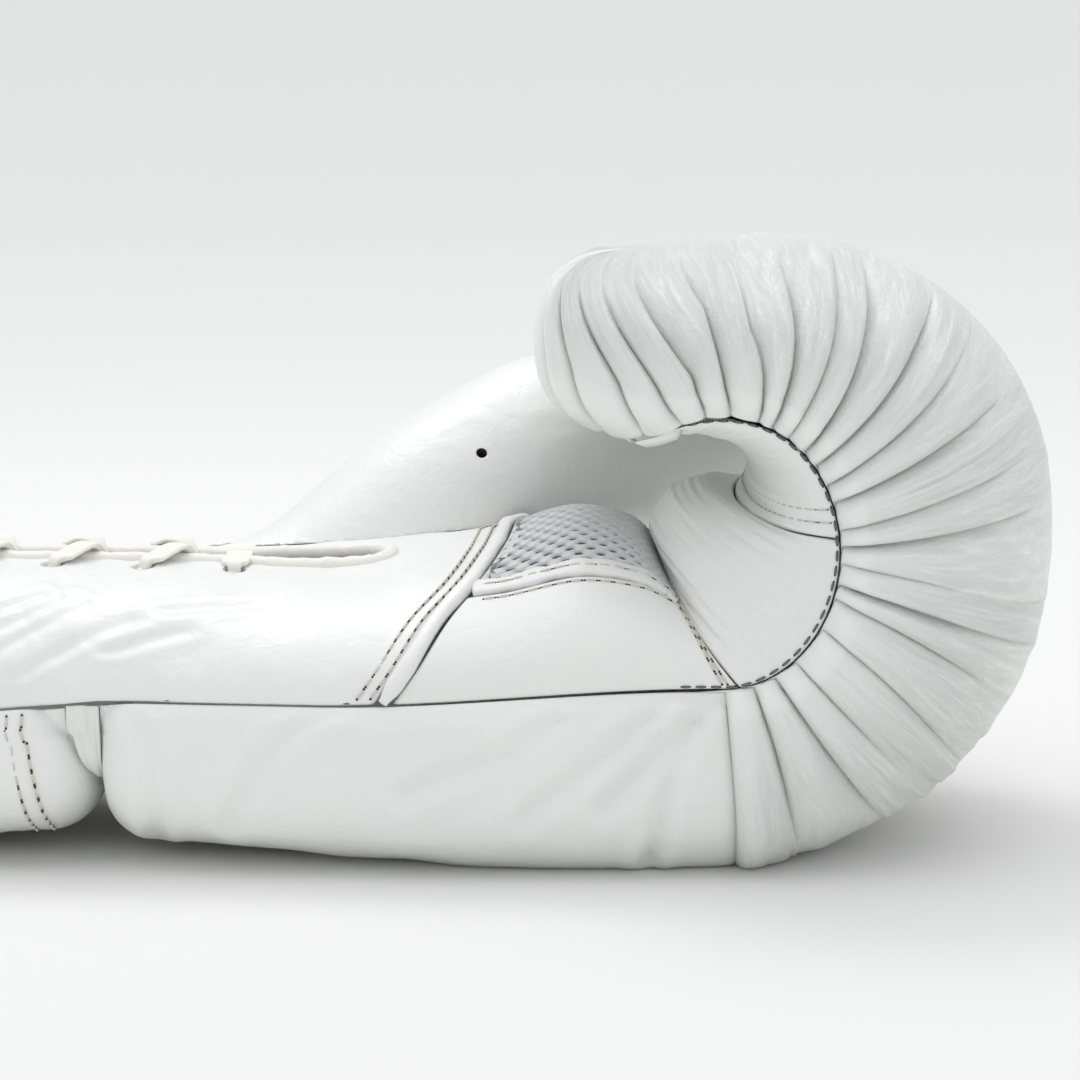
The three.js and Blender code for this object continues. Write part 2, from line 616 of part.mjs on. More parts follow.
function slotBinding() {
  const stops = slotOutline(ROLL_RADIUS)
    .map(({ x, y }) => ({ point: palmOver(x, y, -LEATHER / 2), up: V(0, 0, 1) }));
  return roll(stops, ROLL_RADIUS, ROLL_RADIUS, 8);
}
function slotTool() {
  const outline = slotOutline(2 * ROLL_RADIUS + GAP).map(({ x, y }) => new THREE.Vector2(x, y));
  outline[0].x -= CUFF_ROLL;
  outline.at(-1).x -= CUFF_ROLL;
  return new THREE.ExtrudeGeometry(new THREE.Shape(outline), { depth: FIST_HEIGHT, bevelEnabled: false })
    .translate(0, 0, SEAM_HEIGHT);
}
const eyeletX = (row) => EYELET_FIRST - row * EYELET_PITCH;
function eyeletTools() {
  return steps(0, EYELET_ROWS - 1, EYELET_ROWS - 1).flatMap((row) => [-1, 1].map((side) =>
    new THREE.CylinderGeometry(EYELET_RADIUS, EYELET_RADIUS, SEAM_HEIGHT, 8)
      .rotateX(Math.PI / 2)
      .translate(eyeletX(row), side * EYELET_SPREAD, SEAM_TOP / 2 + SEAM_HEIGHT / 2)));
}

// Lace: each strand leaves an eyelet, lies over its own side of the slot, passes the other
// strand in the middle and runs under the far side to the next eyelet. share is the way along,
// lift the height over the leather in lace thicknesses and wide 1 where the lace lies flat.
const STRAND = [
  { share: 0.0, lift: -2.13, wide: 0 },
  { share: 0.02, lift: 0.4, wide: 0 },
  { share: 0.11, lift: 0.93, wide: 1 },
  { share: 0.34, lift: 2.07, wide: 0.8 },
  { share: 0.45, lift: 0.87, wide: 0 },
  { share: 0.57, lift: -2.67, wide: 0 },
  { share: 0.7, lift: -3.33, wide: 0.6 },
  { share: 0.96, lift: -2.8, wide: 0 },
  { share: 1.0, lift: -0.4, wide: 0 },
];
const BAR = [
  { share: 0.0, lift: -2.13, wide: 0 },
  { share: 0.02, lift: 0.27, wide: 0 },
  { share: 0.1, lift: 0.93, wide: 1 },
  { share: 0.25, lift: 1.67, wide: 1 },
];
function laceStrand(from, to, stops) {
  const way = V(to.x - from.x, to.y - from.y, 0).normalize();
  const side = V(-way.y, way.x, 0);
  const points = stops.map(({ share, lift }) =>
    palmOver(lerp(from.x, to.x, share), lerp(from.y, to.y, share), lift * LACE_THICKNESS));
  return bar(stops.map(({ wide }, i) => {
    const before = points[Math.max(0, i - 1)];
    const after = points[Math.min(points.length - 1, i + 1)];
    const rise = side.clone().cross(after.clone().sub(before)).normalize().multiplyScalar(-1);
    const half = lerp(LACE_GATHERED, LACE_WIDTH, wide) / 2;
    const thick = lerp(1.4, 1, wide) * LACE_THICKNESS / 2;
    const section = [[-1, -1], [-1, 1], [1, 1], [1, -1]];
    return section.map(([across, up]) => points[i].clone()
      .addScaledVector(side, half * across)
      .addScaledVector(rise, thick * up));
  }));
}
function lace() {
  const across = [...BAR, ...BAR.toReversed().map((stop) => ({ ...stop, share: 1 - stop.share }))];
  const strands = [laceStrand(V(eyeletX(0), -EYELET_SPREAD, 0), V(eyeletX(0), EYELET_SPREAD, 0), across)];
  for (let row = 0; row + 1 < EYELET_ROWS; row++) {
    for (const side of [-1, 1]) {
      const from = V(eyeletX(row + 1), side * EYELET_SPREAD, 0);
      strands.push(laceStrand(from, V(eyeletX(row), -side * EYELET_SPREAD, 0), STRAND));
    }
  }
  return joined(...strands);
}

// Cuff binding: the rolled edge of the mouth, from one side of the slot round to the other.
function cuffBinding() {
  const x = -CUFF_LENGTH - CUFF_ROLL - GAP;
  const slotEdge = -slotHalf(-CUFF_LENGTH) - 2 * ROLL_RADIUS;
  const near = [slotEdge, slotEdge * 2].map((y) => palmOver(-CUFF_LENGTH, y, -LEATHER / 2));
  const side = [40, 20, 6].map((angle) => palmPoint(-1, angle, -LEATHER / 2));
  const under = SHELL_SHARES.map((share) => cuffPoint(-1, share, { deep: 0.5 }));
  const points = arch([...near, ...side, ...under]);
  return roll(points.map((p) => ({ point: p.setX(x), up: V(1, 0, 0) })), CUFF_ROLL, CUFF_ROLL, 6);
}

// Thumb: a padded tube from inside the palm, closed at its tip. deep leaves out the padding.
const THUMB_SIDES = 14;
function thumbTube(deep) {
  const spine = (at) => {
    const line = thumbLineAt(at);
    return V(line.along * FIST_LENGTH, line.out * FIST_HALF_WIDTH, line.up * FIST_HEIGHT);
  };
  const ring = (at, girth, push) => {
    const along = spine(Math.min(at + 0.01, 1)).sub(spine(at - 0.01)).normalize();
    const side = along.clone().cross(V(0, 0, 1)).normalize();
    const rise = side.clone().cross(along);
    return steps(0, 360, THUMB_SIDES).slice(0, -1).map((turn) => spine(at)
      .addScaledVector(along, push)
      .addScaledVector(side, girth * Math.cos(rad(turn)))
      .addScaledVector(rise, girth * Math.sin(rad(turn))));
  };
  const girthAt = (at) => thumbLineAt(at).girth * THUMB_RADIUS - deep;
  const along = steps(0, 1, 10).map((at) => ring(at, girthAt(at), 0));
  const tip = [28, 54, 76].map((turn) => {
    const round = girthAt(1);
    return ring(1, round * Math.cos(rad(turn)), round * Math.sin(rad(turn)));
  });
  return bar([...along, ...tip]);
}

// The hand as one block, a little larger than it is, to trim the thumb with.
function handBlock(clear) {
  return bar(steps(-0.2, 1.85, 24).map((place) => {
    const shell = arch(SHELL_SHARES.slice(1).map((share) =>
      shellPoint(place, shellAngle(frameAt(place).start, share), { inset: -clear })));
    const palm = steps(178, 2, 26).map((angle) => palmPoint(place, angle, clear));
    return [...shell, ...palm];
  }));
}
function ventTool() {
  const line = thumbLineAt(VENT_PLACE);
  return new THREE.CylinderGeometry(VENT_RADIUS, VENT_RADIUS, THUMB_RADIUS, 8)
    .translate(0, line.girth * THUMB_RADIUS, 0)
    .rotateX(rad(90 + VENT_TILT))
    .rotateY(rad(-VENT_LEAN))
    .translate(line.along * FIST_LENGTH, line.out * FIST_HALF_WIDTH, line.up * FIST_HEIGHT);
}
const hollowThumb = thumbTube(THUMB_PAD);
function thumb() {
  return cut(thumbTube(0), hollowThumb, handBlock(2 * GAP), handShell(GAP), ventTool());
}

// Materials, named for what each one is.
const finish = (color, roughness) => new THREE.MeshStandardMaterial({ color, roughness, metalness: 0 });
const leather = finish("#eceeee", 0.42);
const soft = finish("#e8e9e7", 0.6);
const cream = finish("#e9e6da", 0.55);
const cotton = finish("#e9e5d6", 0.85);
const netting = finish("#d9dcda", 0.8);

const group = new THREE.Group();
function add(name, geometry, material) {
  geometry.computeVertexNormals();
  const mesh = new THREE.Mesh(geometry, material);
  mesh.name = name;
  group.add(mesh);
}
add("hand_shell", cut(handShell(), hollowThumb), leather);
add("cuff_pad", cuffPad(), leather);
add("wrist_gusset", wristGusset(), soft);
const heelTo = (angle) => heelEnd(angle) - pipingShift(angle);
const heel = panel(() => -1, heelTo, steps(0, FAR_LINE, 12), 11);
add("heel_panel", cut(heel, slotTool(), ...eyeletTools()), leather);
add("thumb_base", cut(panel(() => -1, heelTo, steps(FAR_LINE + 1, 180, 5), 12), hollowThumb), leather);
add("heel_piping", heelPiping(), leather);
add("palm_side", panel(palmFrom, palmTo, steps(0, MESH_TURN - EDGE_TURN, 5), 8), soft);
const far = panel(palmFrom, palmTo, steps(180 - MESH_TURN + EDGE_TURN, 180, 5), 8);
add("palm_far", cut(far, hollowThumb), soft);
add("mesh_edge_near", meshEdge(MESH_TURN), soft);
add("mesh_edge_far", meshEdge(180 - MESH_TURN), soft);
add("palm_mesh", palmMesh(), netting);
const gripFrom = (angle) => fingerStart(angle) + EDGE_SHIFT;
add("grip_panel", panel(gripFrom, () => FOLD - EDGE_SHIFT, steps(0, 180, 12), 7), soft);
add("finger_panel", panel(() => FOLD + EDGE_SHIFT, () => 4, steps(0, 180, 12), 11), soft);
add("thumb", thumb(), leather);
add("slot_binding", slotBinding(), cream);
add("lace", lace(), cotton);
add("cuff_binding", cuffBinding(), cream);

// The origin is the middle of the glove's floor area.
const box = new THREE.Box3().setFromObject(group);
group.position.set(-(box.min.x + box.max.x) / 2, -(box.min.y + box.max.y) / 2, -box.min.z);

export default group;
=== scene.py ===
# %% [markdown]
# # A lace-up boxing glove
#
# A white leather boxing glove for the left hand lies on its back, palm up, with its fingers
# curled towards +X. This lesson dresses the glove's solids, one piece at a time: the padded
# leather with its gathered pleats, the palm's panels, the net, the stitching and the lacing.
# Each cell makes one piece or one finish.

import bmesh
import bpy
import numpy as np
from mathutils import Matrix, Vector


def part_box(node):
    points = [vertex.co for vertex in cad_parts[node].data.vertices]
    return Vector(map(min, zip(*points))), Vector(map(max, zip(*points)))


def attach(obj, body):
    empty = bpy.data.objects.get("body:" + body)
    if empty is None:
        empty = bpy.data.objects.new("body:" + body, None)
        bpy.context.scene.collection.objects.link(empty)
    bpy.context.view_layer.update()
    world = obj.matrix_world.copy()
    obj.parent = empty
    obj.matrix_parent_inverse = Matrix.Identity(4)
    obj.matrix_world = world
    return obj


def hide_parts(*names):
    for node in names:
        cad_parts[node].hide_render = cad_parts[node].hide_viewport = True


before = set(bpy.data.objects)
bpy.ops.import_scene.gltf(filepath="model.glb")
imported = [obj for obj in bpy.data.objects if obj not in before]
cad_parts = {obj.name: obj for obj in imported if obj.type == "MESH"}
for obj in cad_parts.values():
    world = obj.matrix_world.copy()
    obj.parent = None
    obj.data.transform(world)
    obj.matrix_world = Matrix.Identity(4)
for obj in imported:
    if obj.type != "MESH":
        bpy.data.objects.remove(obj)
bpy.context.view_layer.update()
bpy.ops.object.select_all(action="DESELECT")

# %% [markdown]
# ## Camera
#
# The photograph was taken from the little finger's side, a little above the glove, with a
# long lens. The camera looks along +Y at the middle of the hand and 9 degrees down. Its
# frame ends the glove at the wrist, as the photograph does.

# %% Camera
MM = 0.001
shell_low, shell_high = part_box("hand_shell")
NOTCH_X = shell_low.x
MIDDLE_Y = (shell_low.y + shell_high.y) / 2
CAMERA_TARGET = Vector((NOTCH_X + 100 * MM, MIDDLE_Y, 69.4 * MM))
CAMERA_DISTANCE = 0.8
CAMERA_DOWN = np.radians(9)
CAMERA_LENS = 111.3

bpy.ops.object.camera_add()
camera = bpy.context.object
camera.name = "camera"
back = Vector((0, -np.cos(CAMERA_DOWN), np.sin(CAMERA_DOWN)))
camera.location = CAMERA_TARGET + back * CAMERA_DISTANCE
camera.rotation_euler = (-back).to_track_quat("-Z", "Y").to_euler()
camera.data.lens = CAMERA_LENS
bpy.context.scene.camera = camera

# %% [markdown]
# ## The glove's own line
#
# Every piece follows one line that runs along the cuff, under the hand, round the knuckles
# and back over the fingertips. A place on it is a number: -1 to 0 is the cuff, 0 to 1 the
# back of the hand, 1 to 4 the curl, with a quarter turn for each step of 1. The solids were
# drawn on this line too, so a piece that is drawn on it again, with more points, lies where
# its solid lies. All of the lesson's lengths are in millimetres from the notch at the wrist.

# %% Sizes
FIST_LENGTH = 221.5
FIST_HEIGHT = 142.5
FIST_HALF_WIDTH = 61.0
HAND_LENGTH = 141.0
ROCKER_RISE = 7.8
ROCKER_LENGTH = 115.0
SEAM_HEIGHT = 39.7
SEAM_LOW = 44.5
SEAM_CLIMBS = 0.35
SEAM_TOP = FIST_HEIGHT - 37.0
HOLLOW_REACH = 26.0
CURL_SQUARE = 2.15
CREST_LEAN = 4.0
TOP_LEAN = 11.0
KNUCKLE_HEIGHT = 0.52 * FIST_HEIGHT
TIP_REACH = 22.0
TIP_DROP = 3.5
TIP_CENTRE = np.array([HAND_LENGTH - 20.5, 0, FIST_HEIGHT - 25.5])
TIP_START = 3.245
TIP_TUCK = 75.0
KNUCKLE_PAD = 38.0
SIDE_WALL = 9.0
LEATHER = 2.4
SEAM_TUCK = 20.0
ROLL_DEPTH = 19.0
BAND_RISE = 7.4
FLOOR_PRESS = 2.2
MOST_PULL = 0.85
GAP = 0.3
TIP_CLEARANCE = 1.5
CUFF_LENGTH = 108.0
CUFF_END = -8 / CUFF_LENGTH
CUFF_DROP = 10.0
CUFF_CORNER = 12.0
CUFF_LEAN = 6.0
HAND_CORNER = 8.0

# %% [markdown]
# The glove's width, padding and palm line change along it. Each is a smooth curve through a
# few rows. The first column of a row is the place, and the others are shares of the sizes
# above.

# %% Curves through rows
SECTIONS = [  # place, half width, padding, corner power
    (-1, 0.83, 0.14, 2.5), (-0.8, 0.82, 0.3, 2.5), (-0.5, 0.81, 0.36, 2.5),
    (-0.07, 0.83, 0.42, 2.6), (0.2, 0.88, 0.6, 2.8), (0.5, 0.95, 0.72, 2.8),
    (1, 1, 0.82, 2.7), (2, 0.985, 1, 2.25), (3, 0.965, 0.7, 2.3),
    (3.25, 0.95, 0.6, 2.4), (4, 0.95, 0.36, 2.4),
]
PALM_LINE = [  # place, along, up, skew
    (-1, -1, 0.38, 0), (-0.5, -0.5, 0.364, 0), (0, 0, 0.352, 0.04),
    (0.37, 0.37, 0.349, 0.2), (0.64, 0.64, 0.42, 0.22), (0.78, 0.77, 0.507, 0.14),
    (0.9, 0.866, 0.467, 0.08), (1.09, 0.914, 0.336, 0.02), (1.38, 0.897, 0.475, 0),
    (1.65, 0.93, 0.595, 0), (1.9, 0.988, 0.633, 0), (2.08, 1.043, 0.59, 0),
    (2.28, 1.065, 0.682, 0), (2.55, 1.043, 0.8, 0), (2.82, 0.983, 0.864, 0),
    (3.1, 0.917, 0.882, 0), (3.245, 0.875, 0.88, 0),
]
THUMB_LINE = [  # share of the thumb, along, out, up, girth
    (0, 0.03, 0.36, 0.29, 0.66), (0.2, 0.175, 0.62, 0.335, 0.82), (0.42, 0.32, 0.88, 0.455, 1.02),
    (0.65, 0.45, 1.12, 0.56, 1.03), (0.85, 0.575, 1.3, 0.59, 1), (1, 0.68, 1.36, 0.6, 0.92),
]


def curve_through(rows):
    knots = np.array(rows, float)
    at, values = knots[:, 0], knots[:, 1:]
    last = len(at) - 1

    def read(place):
        place = np.asarray(place, float)
        i = np.searchsorted(at[1:-1], place)
        before, after = np.maximum(i - 1, 0), np.minimum(i + 2, last)
        span = (at[i + 1] - at[i])[..., None]
        t = np.clip((place - at[i])[..., None] / span, 0, 1)
        a, b = values[i], values[i + 1]
        m0 = (b - values[before]) / (at[i + 1] - at[before])[..., None] * span
        m1 = (values[after] - a) / (at[after] - at[i])[..., None] * span
        found = (2 * t**3 - 3 * t**2 + 1) * a + (t**3 - 2 * t**2 + t) * m0
        found += (3 * t**2 - 2 * t**3) * b + (t**3 - t**2) * m1
        return np.moveaxis(found, -1, 0)

    return read


section_at = curve_through(SECTIONS)
palm_line_at = curve_through(PALM_LINE)
thumb_line_at = curve_through(THUMB_LINE)

# %% [markdown]
# The seam is the line where the padded back and the palm's panels are sewn together. The
# crown is the padding's outermost line. Between the two lies half of a rounded section, and
# the other half is its mirror image.

# %% Seam, crown and section


def lerp(a, b, t):
    return a + (b - a) * t


def smooth(value, low, high):
    t = np.clip((value - low) / (high - low), 0, 1)
    return t * t * (3 - 2 * t)


def rounded(value, power):
    return np.sign(value) * np.abs(value) ** power


def vec(x, y, z):
    return np.stack(np.broadcast_arrays(x, y, z), -1).astype(float)


def unit(v):
    return v / np.linalg.norm(v, axis=-1, keepdims=True)


def along_of(place):
    return np.where(place < 0, place * CUFF_LENGTH, place * HAND_LENGTH)


def seam_point(place):
    turn = np.radians((place - 2) * 90)
    middle = (SEAM_LOW + SEAM_TOP) / 2
    back_height = lerp(SEAM_HEIGHT, SEAM_LOW, smooth(place, SEAM_CLIMBS, 1))
    flat = np.where(place <= 0, SEAM_HEIGHT + CUFF_DROP * place, back_height)
    x = np.where(place <= 1, along_of(place), HAND_LENGTH + HOLLOW_REACH * np.cos(turn))
    return vec(x, 0, np.where(place <= 1, flat, middle + (SEAM_TOP - middle) * np.sin(turn)))


def crown_point(place):
    x = along_of(place)
    turn = np.radians((place - 2) * 90)
    c = rounded(np.cos(turn), 2 / CURL_SQUARE)
    s = rounded(np.sin(turn), 2 / CURL_SQUARE)
    cuff = lerp(ROCKER_RISE + 1.4, 0, -place)
    rise = ROCKER_RISE * np.maximum(0, 1 - x / ROCKER_LENGTH) ** 1.6
    flat = rise - FLOOR_PRESS * smooth(place, 0.4, 0.85)
    lower = KNUCKLE_HEIGHT + (KNUCKLE_HEIGHT + FLOOR_PRESS) * s
    over = 1 - (4 - place) ** 2
    top_x = HAND_LENGTH + TOP_LEAN
    steps = [place < 0, place <= 1, place <= 2, place <= 3]
    found_x = np.select(steps, [
        x, x + CREST_LEAN * smooth(place, 0.55, 1), lerp(HAND_LENGTH + CREST_LEAN, FIST_LENGTH, c),
        lerp(top_x, FIST_LENGTH, c),
    ], lerp(top_x, TIP_CENTRE[0], over))
    found_z = np.select(
        steps, [cuff, flat, lower, lerp(KNUCKLE_HEIGHT, FIST_HEIGHT, s)], FIST_HEIGHT - TIP_DROP * over)
    return vec(found_x, 0, found_z)


def section(place):
    half, pad, square = section_at(place)
    seam = seam_point(np.minimum(place, TIP_START))
    out = unit(crown_point(place) - seam)
    roll = ROLL_DEPTH * np.sin(np.radians(SEAM_TUCK)) ** (2 / square)
    curl = np.clip((place - TIP_START) / (4 - TIP_START), 0, 1)
    centre = lerp(seam + out * roll[..., None], TIP_CENTRE, smooth(curl, 0, 1)[..., None])
    plan = np.radians(90 * (1 - curl))
    power = 2 / square
    side = vec(-TIP_REACH * rounded(np.cos(plan), power),
               -half * FIST_HALF_WIDTH * rounded(np.sin(plan), power), 0)
    start = -lerp(SEAM_TUCK, TIP_TUCK, curl**0.8)
    return centre, side, crown_point(place) - centre, start, pad * KNUCKLE_PAD, power


def shell_angle(place, share):
    start = section(place)[3]
    return np.where(share <= 1, start * (1 - share), 90 * (share - 1))


def shell_point(place, angle, deep=0.0, inset=0.0):
    """angle runs from the section's start, at the seam, to 90 on the crown."""
    place, angle = np.broadcast_arrays(np.asarray(place, float), np.asarray(angle, float))
    centre, side, crown, start, pad, power = section(place)
    a = np.radians(angle)
    c, s = rounded(np.cos(a), power), rounded(np.sin(a), power)
    reach, height = np.linalg.norm(side, axis=-1), np.linalg.norm(crown, axis=-1)
    below = angle < 0
    edge = np.where(below, lerp(SIDE_WALL, LEATHER, angle / start), SIDE_WALL)
    wall_up = np.where(below, edge, lerp(SIDE_WALL, pad, smooth(angle, 0, 60)))
    pull = deep * edge + np.minimum(inset, MOST_PULL * edge)
    pull_up = deep * wall_up + np.minimum(inset, MOST_PULL * wall_up)
    rise = np.where(below, ROLL_DEPTH, height)
    return (centre + side * (c * (reach - pull) / reach)[..., None]
            + unit(crown) * (s * (rise - pull_up))[..., None])


# %% [markdown]
# The palm's panels lie over the hollow between the two side seams. An angle of 0 is the
# near seam, 90 the crest and 180 the thumb's side.

# %% The palm's surface
PALM_ACROSS = 0.88
PALM_UP = 0.95


def palm_top(place):
    along, up, skew = palm_line_at(np.minimum(place, TIP_START))
    x = along * np.where(along < 0, CUFF_LENGTH, HAND_LENGTH)
    top = vec(x, skew * FIST_HALF_WIDTH, lerp(SEAM_LOW, SEAM_TOP, up))
    end = shell_point(4.0, section(np.array(4.0))[3]) + np.array([TIP_CLEARANCE, 0, 0])
    left = np.clip((4 - place) / (4 - TIP_START), 0, 1)
    return lerp(top, end, np.where(place <= TIP_START, 0, 1 - left**1.6)[..., None])


def palm_base(place, angle):
    place, angle = np.broadcast_arrays(np.asarray(place, float), np.asarray(angle, float))
    seam = shell_point(place, section(place)[3])
    top = palm_top(place)
    a = np.radians(angle)
    start = seam * [1, 0, 1]
    way = top * [1, 0, 1] - start
    tips = smooth(place, 2.6, TIP_START)
    clear = lerp(GAP, TIP_CLEARANCE, tips)
    half = np.maximum(np.abs(seam[..., 1]) - tips * (LEATHER + 4 * GAP), 0)
    length = np.linalg.norm(way, axis=-1)
    start = start + way * (clear / np.maximum(length, clear))[..., None]
    across = rounded(np.cos(a), PALM_ACROSS)
    point = lerp(start, top, (np.abs(np.sin(a)) ** PALM_UP)[..., None])
    point[..., 1] = top[..., 1] - across * (half + np.sign(across) * top[..., 1])
    return point


def palm_normal(place, angle):
    place, angle = np.clip(place, -1, 3.96), np.clip(angle, 0.4, 179.6)
    along = palm_base(place + 0.004, angle) - palm_base(place - 0.004, angle)
    across = palm_base(place, angle + 0.3) - palm_base(place, angle - 0.3)
    return unit(np.cross(along, across))


def palm_point(place, angle, lift=0.0):
    return palm_base(place, angle) + palm_normal(place, angle) * np.asarray(lift)[..., None]


def palm_angle_over(x, y):
    """The angle whose point lies at that x and y of the wrist, found by halving."""
    x, y = np.broadcast_arrays(np.asarray(x, float), np.asarray(y, float))
    place = x / np.where(x < 0, CUFF_LENGTH, HAND_LENGTH)
    low, high = np.zeros(x.shape), np.full(x.shape, 180.0)
    for _ in range(24):
        middle = (low + high) / 2
        under = palm_base(place, middle)[..., 1] < y
        low, high = np.where(under, middle, low), np.where(under, high, middle)
    return place, low


# %% [markdown]
# ## From points to a piece
#
# A lofted piece is two grids of points, its outside and its inside, with their edges joined.
# The inside has fewer points, so the two edges are zipped together with triangles. A maker
# would do the same with two patterns of leather: baste the edges first.

# %% Piece builder


class Pattern:
    """Gathers points and faces for one piece, in millimetres."""

    def __init__(self):
        self.points, self.faces, self.count = [], [], 0
        self.marks, self.dark = [], []

    def grid(self, points):
        rows, columns = points.shape[:2]
        ids = np.arange(rows * columns).reshape(rows, columns) + self.count
        self.points.append(points.reshape(-1, 3))
        self.count += rows * columns
        return ids

    def skin(self, ids):
        quads = np.stack([ids[:-1, :-1], ids[1:, :-1], ids[1:, 1:], ids[:-1, 1:]], -1)
        self.faces.extend(quads.reshape(-1, 4).tolist())

    def zip(self, a, b):
        i = j = 0
        while i < len(a) - 1 or j < len(b) - 1:
            if j == len(b) - 1 or (i < len(a) - 1 and (i + 1) * (len(b) - 1) <= (j + 1) * (len(a) - 1)):
                self.faces.append([int(a[i]), int(a[i + 1]), int(b[j])])
                i += 1
            else:
                self.faces.append([int(a[i]), int(b[j + 1]), int(b[j])])
                j += 1

    def wall(self, outer, inner, closed_end=False, marks=None):
        o, n = self.grid(outer), self.grid(inner)
        if marks is not None:
            self.marks.extend([marks.reshape(-1, 3), np.zeros(inner.shape).reshape(-1, 3)])
        self.skin(o)
        self.skin(n)
        edges = [(o[0], n[0]), (o[:, 0], n[:, 0]), (o[:, -1], n[:, -1])]
        if not closed_end:
            edges.append((o[-1], n[-1]))
        for a, b in edges:
            self.zip(a, b)

    def tube(self, rings, marks=None):
        """Rings of points, closed at each end by a fan. marks holds a weave place per point."""
        ids = self.grid(rings)
        if marks is not None:
            self.marks.extend([marks.reshape(-1, 3), marks[0].mean(0)[None], marks[-1].mean(0)[None]])
        self.skin(np.hstack([ids, ids[:, :1]]))
        for ring in (0, -1):
            self.points.append(rings[ring].mean(0)[None])
            for a, b in zip(ids[ring], np.roll(ids[ring], -1)):
                self.faces.append([int(a), int(b), self.count])
            self.count += 1

    def piece(self, name):
        points = np.concatenate(self.points) * MM + [NOTCH_X, MIDDLE_Y, 0]
        mesh = bpy.data.meshes.new(name)
        mesh.from_pydata(points.tolist(), [], self.faces)
        for number in self.dark:
            mesh.polygons[number].material_index = 1
        if self.marks:
            weave = mesh.attributes.new("weave", "FLOAT_VECTOR", "POINT")
            weave.data.foreach_set("vector", np.concatenate(self.marks).ravel())
        piece = bpy.data.objects.new(name, mesh)
        bpy.context.scene.collection.objects.link(piece)
        return settle(piece)


def only(piece):
    bpy.ops.object.select_all(action="DESELECT")
    piece.select_set(True)
    bpy.context.view_layer.objects.active = piece


def settle(piece):
    """Joins doubled points, turns the faces outwards and shades them smooth."""
    only(piece)
    bpy.ops.object.mode_set(mode="EDIT")
    bpy.ops.mesh.select_all(action="SELECT")
    bpy.ops.mesh.remove_doubles(threshold=0.002 * MM)
    bpy.ops.mesh.dissolve_degenerate(threshold=0.001 * MM)
    bpy.ops.mesh.normals_make_consistent(inside=False)
    bpy.ops.object.mode_set(mode="OBJECT")
    bpy.ops.object.shade_smooth()
    piece.select_set(False)
    return piece


def dress(piece, material, nodes=(), more=()):
    """Gives a piece its finish and its place in the glove."""
    for one in (material, *more):
        piece.data.materials.append(one)
    if nodes:
        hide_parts(*nodes)
    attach(piece, "root")
    print(piece.name, "has", len(piece.data.polygons), "faces")
    return piece


# %% [markdown]
# ## Materials
#
# Every finish is made of nodes. One function turns a hex colour to linear, and one adds a
# node with its settings and links.

# %% Node helpers


def colour(code):
    parts = [int(code[i:i + 2], 16) / 255 for i in (1, 3, 5)]
    linear = [p / 12.92 if p <= 0.04045 else ((p + 0.055) / 1.055) ** 2.4 for p in parts]
    return (*linear, 1)


def new_material(name):
    material = bpy.data.materials.new(name)
    material.use_nodes = True
    material.node_tree.nodes.clear()
    return material, material.node_tree


def add_node(tree, kind, settings=None, **inputs):
    """Adds a node. An input that is a socket is linked, and any other value is set."""
    made = tree.nodes.new("ShaderNode" + kind)
    for name, value in (settings or {}).items():
        setattr(made, name, value)
    for name, value in inputs.items():
        socket = made.inputs[int(name[1:])] if name[1:].isdigit() else made.inputs[name.replace("_", " ")]
        if isinstance(value, bpy.types.NodeSocket):
            tree.links.new(value, socket)
        else:
            socket.default_value = value
    return made
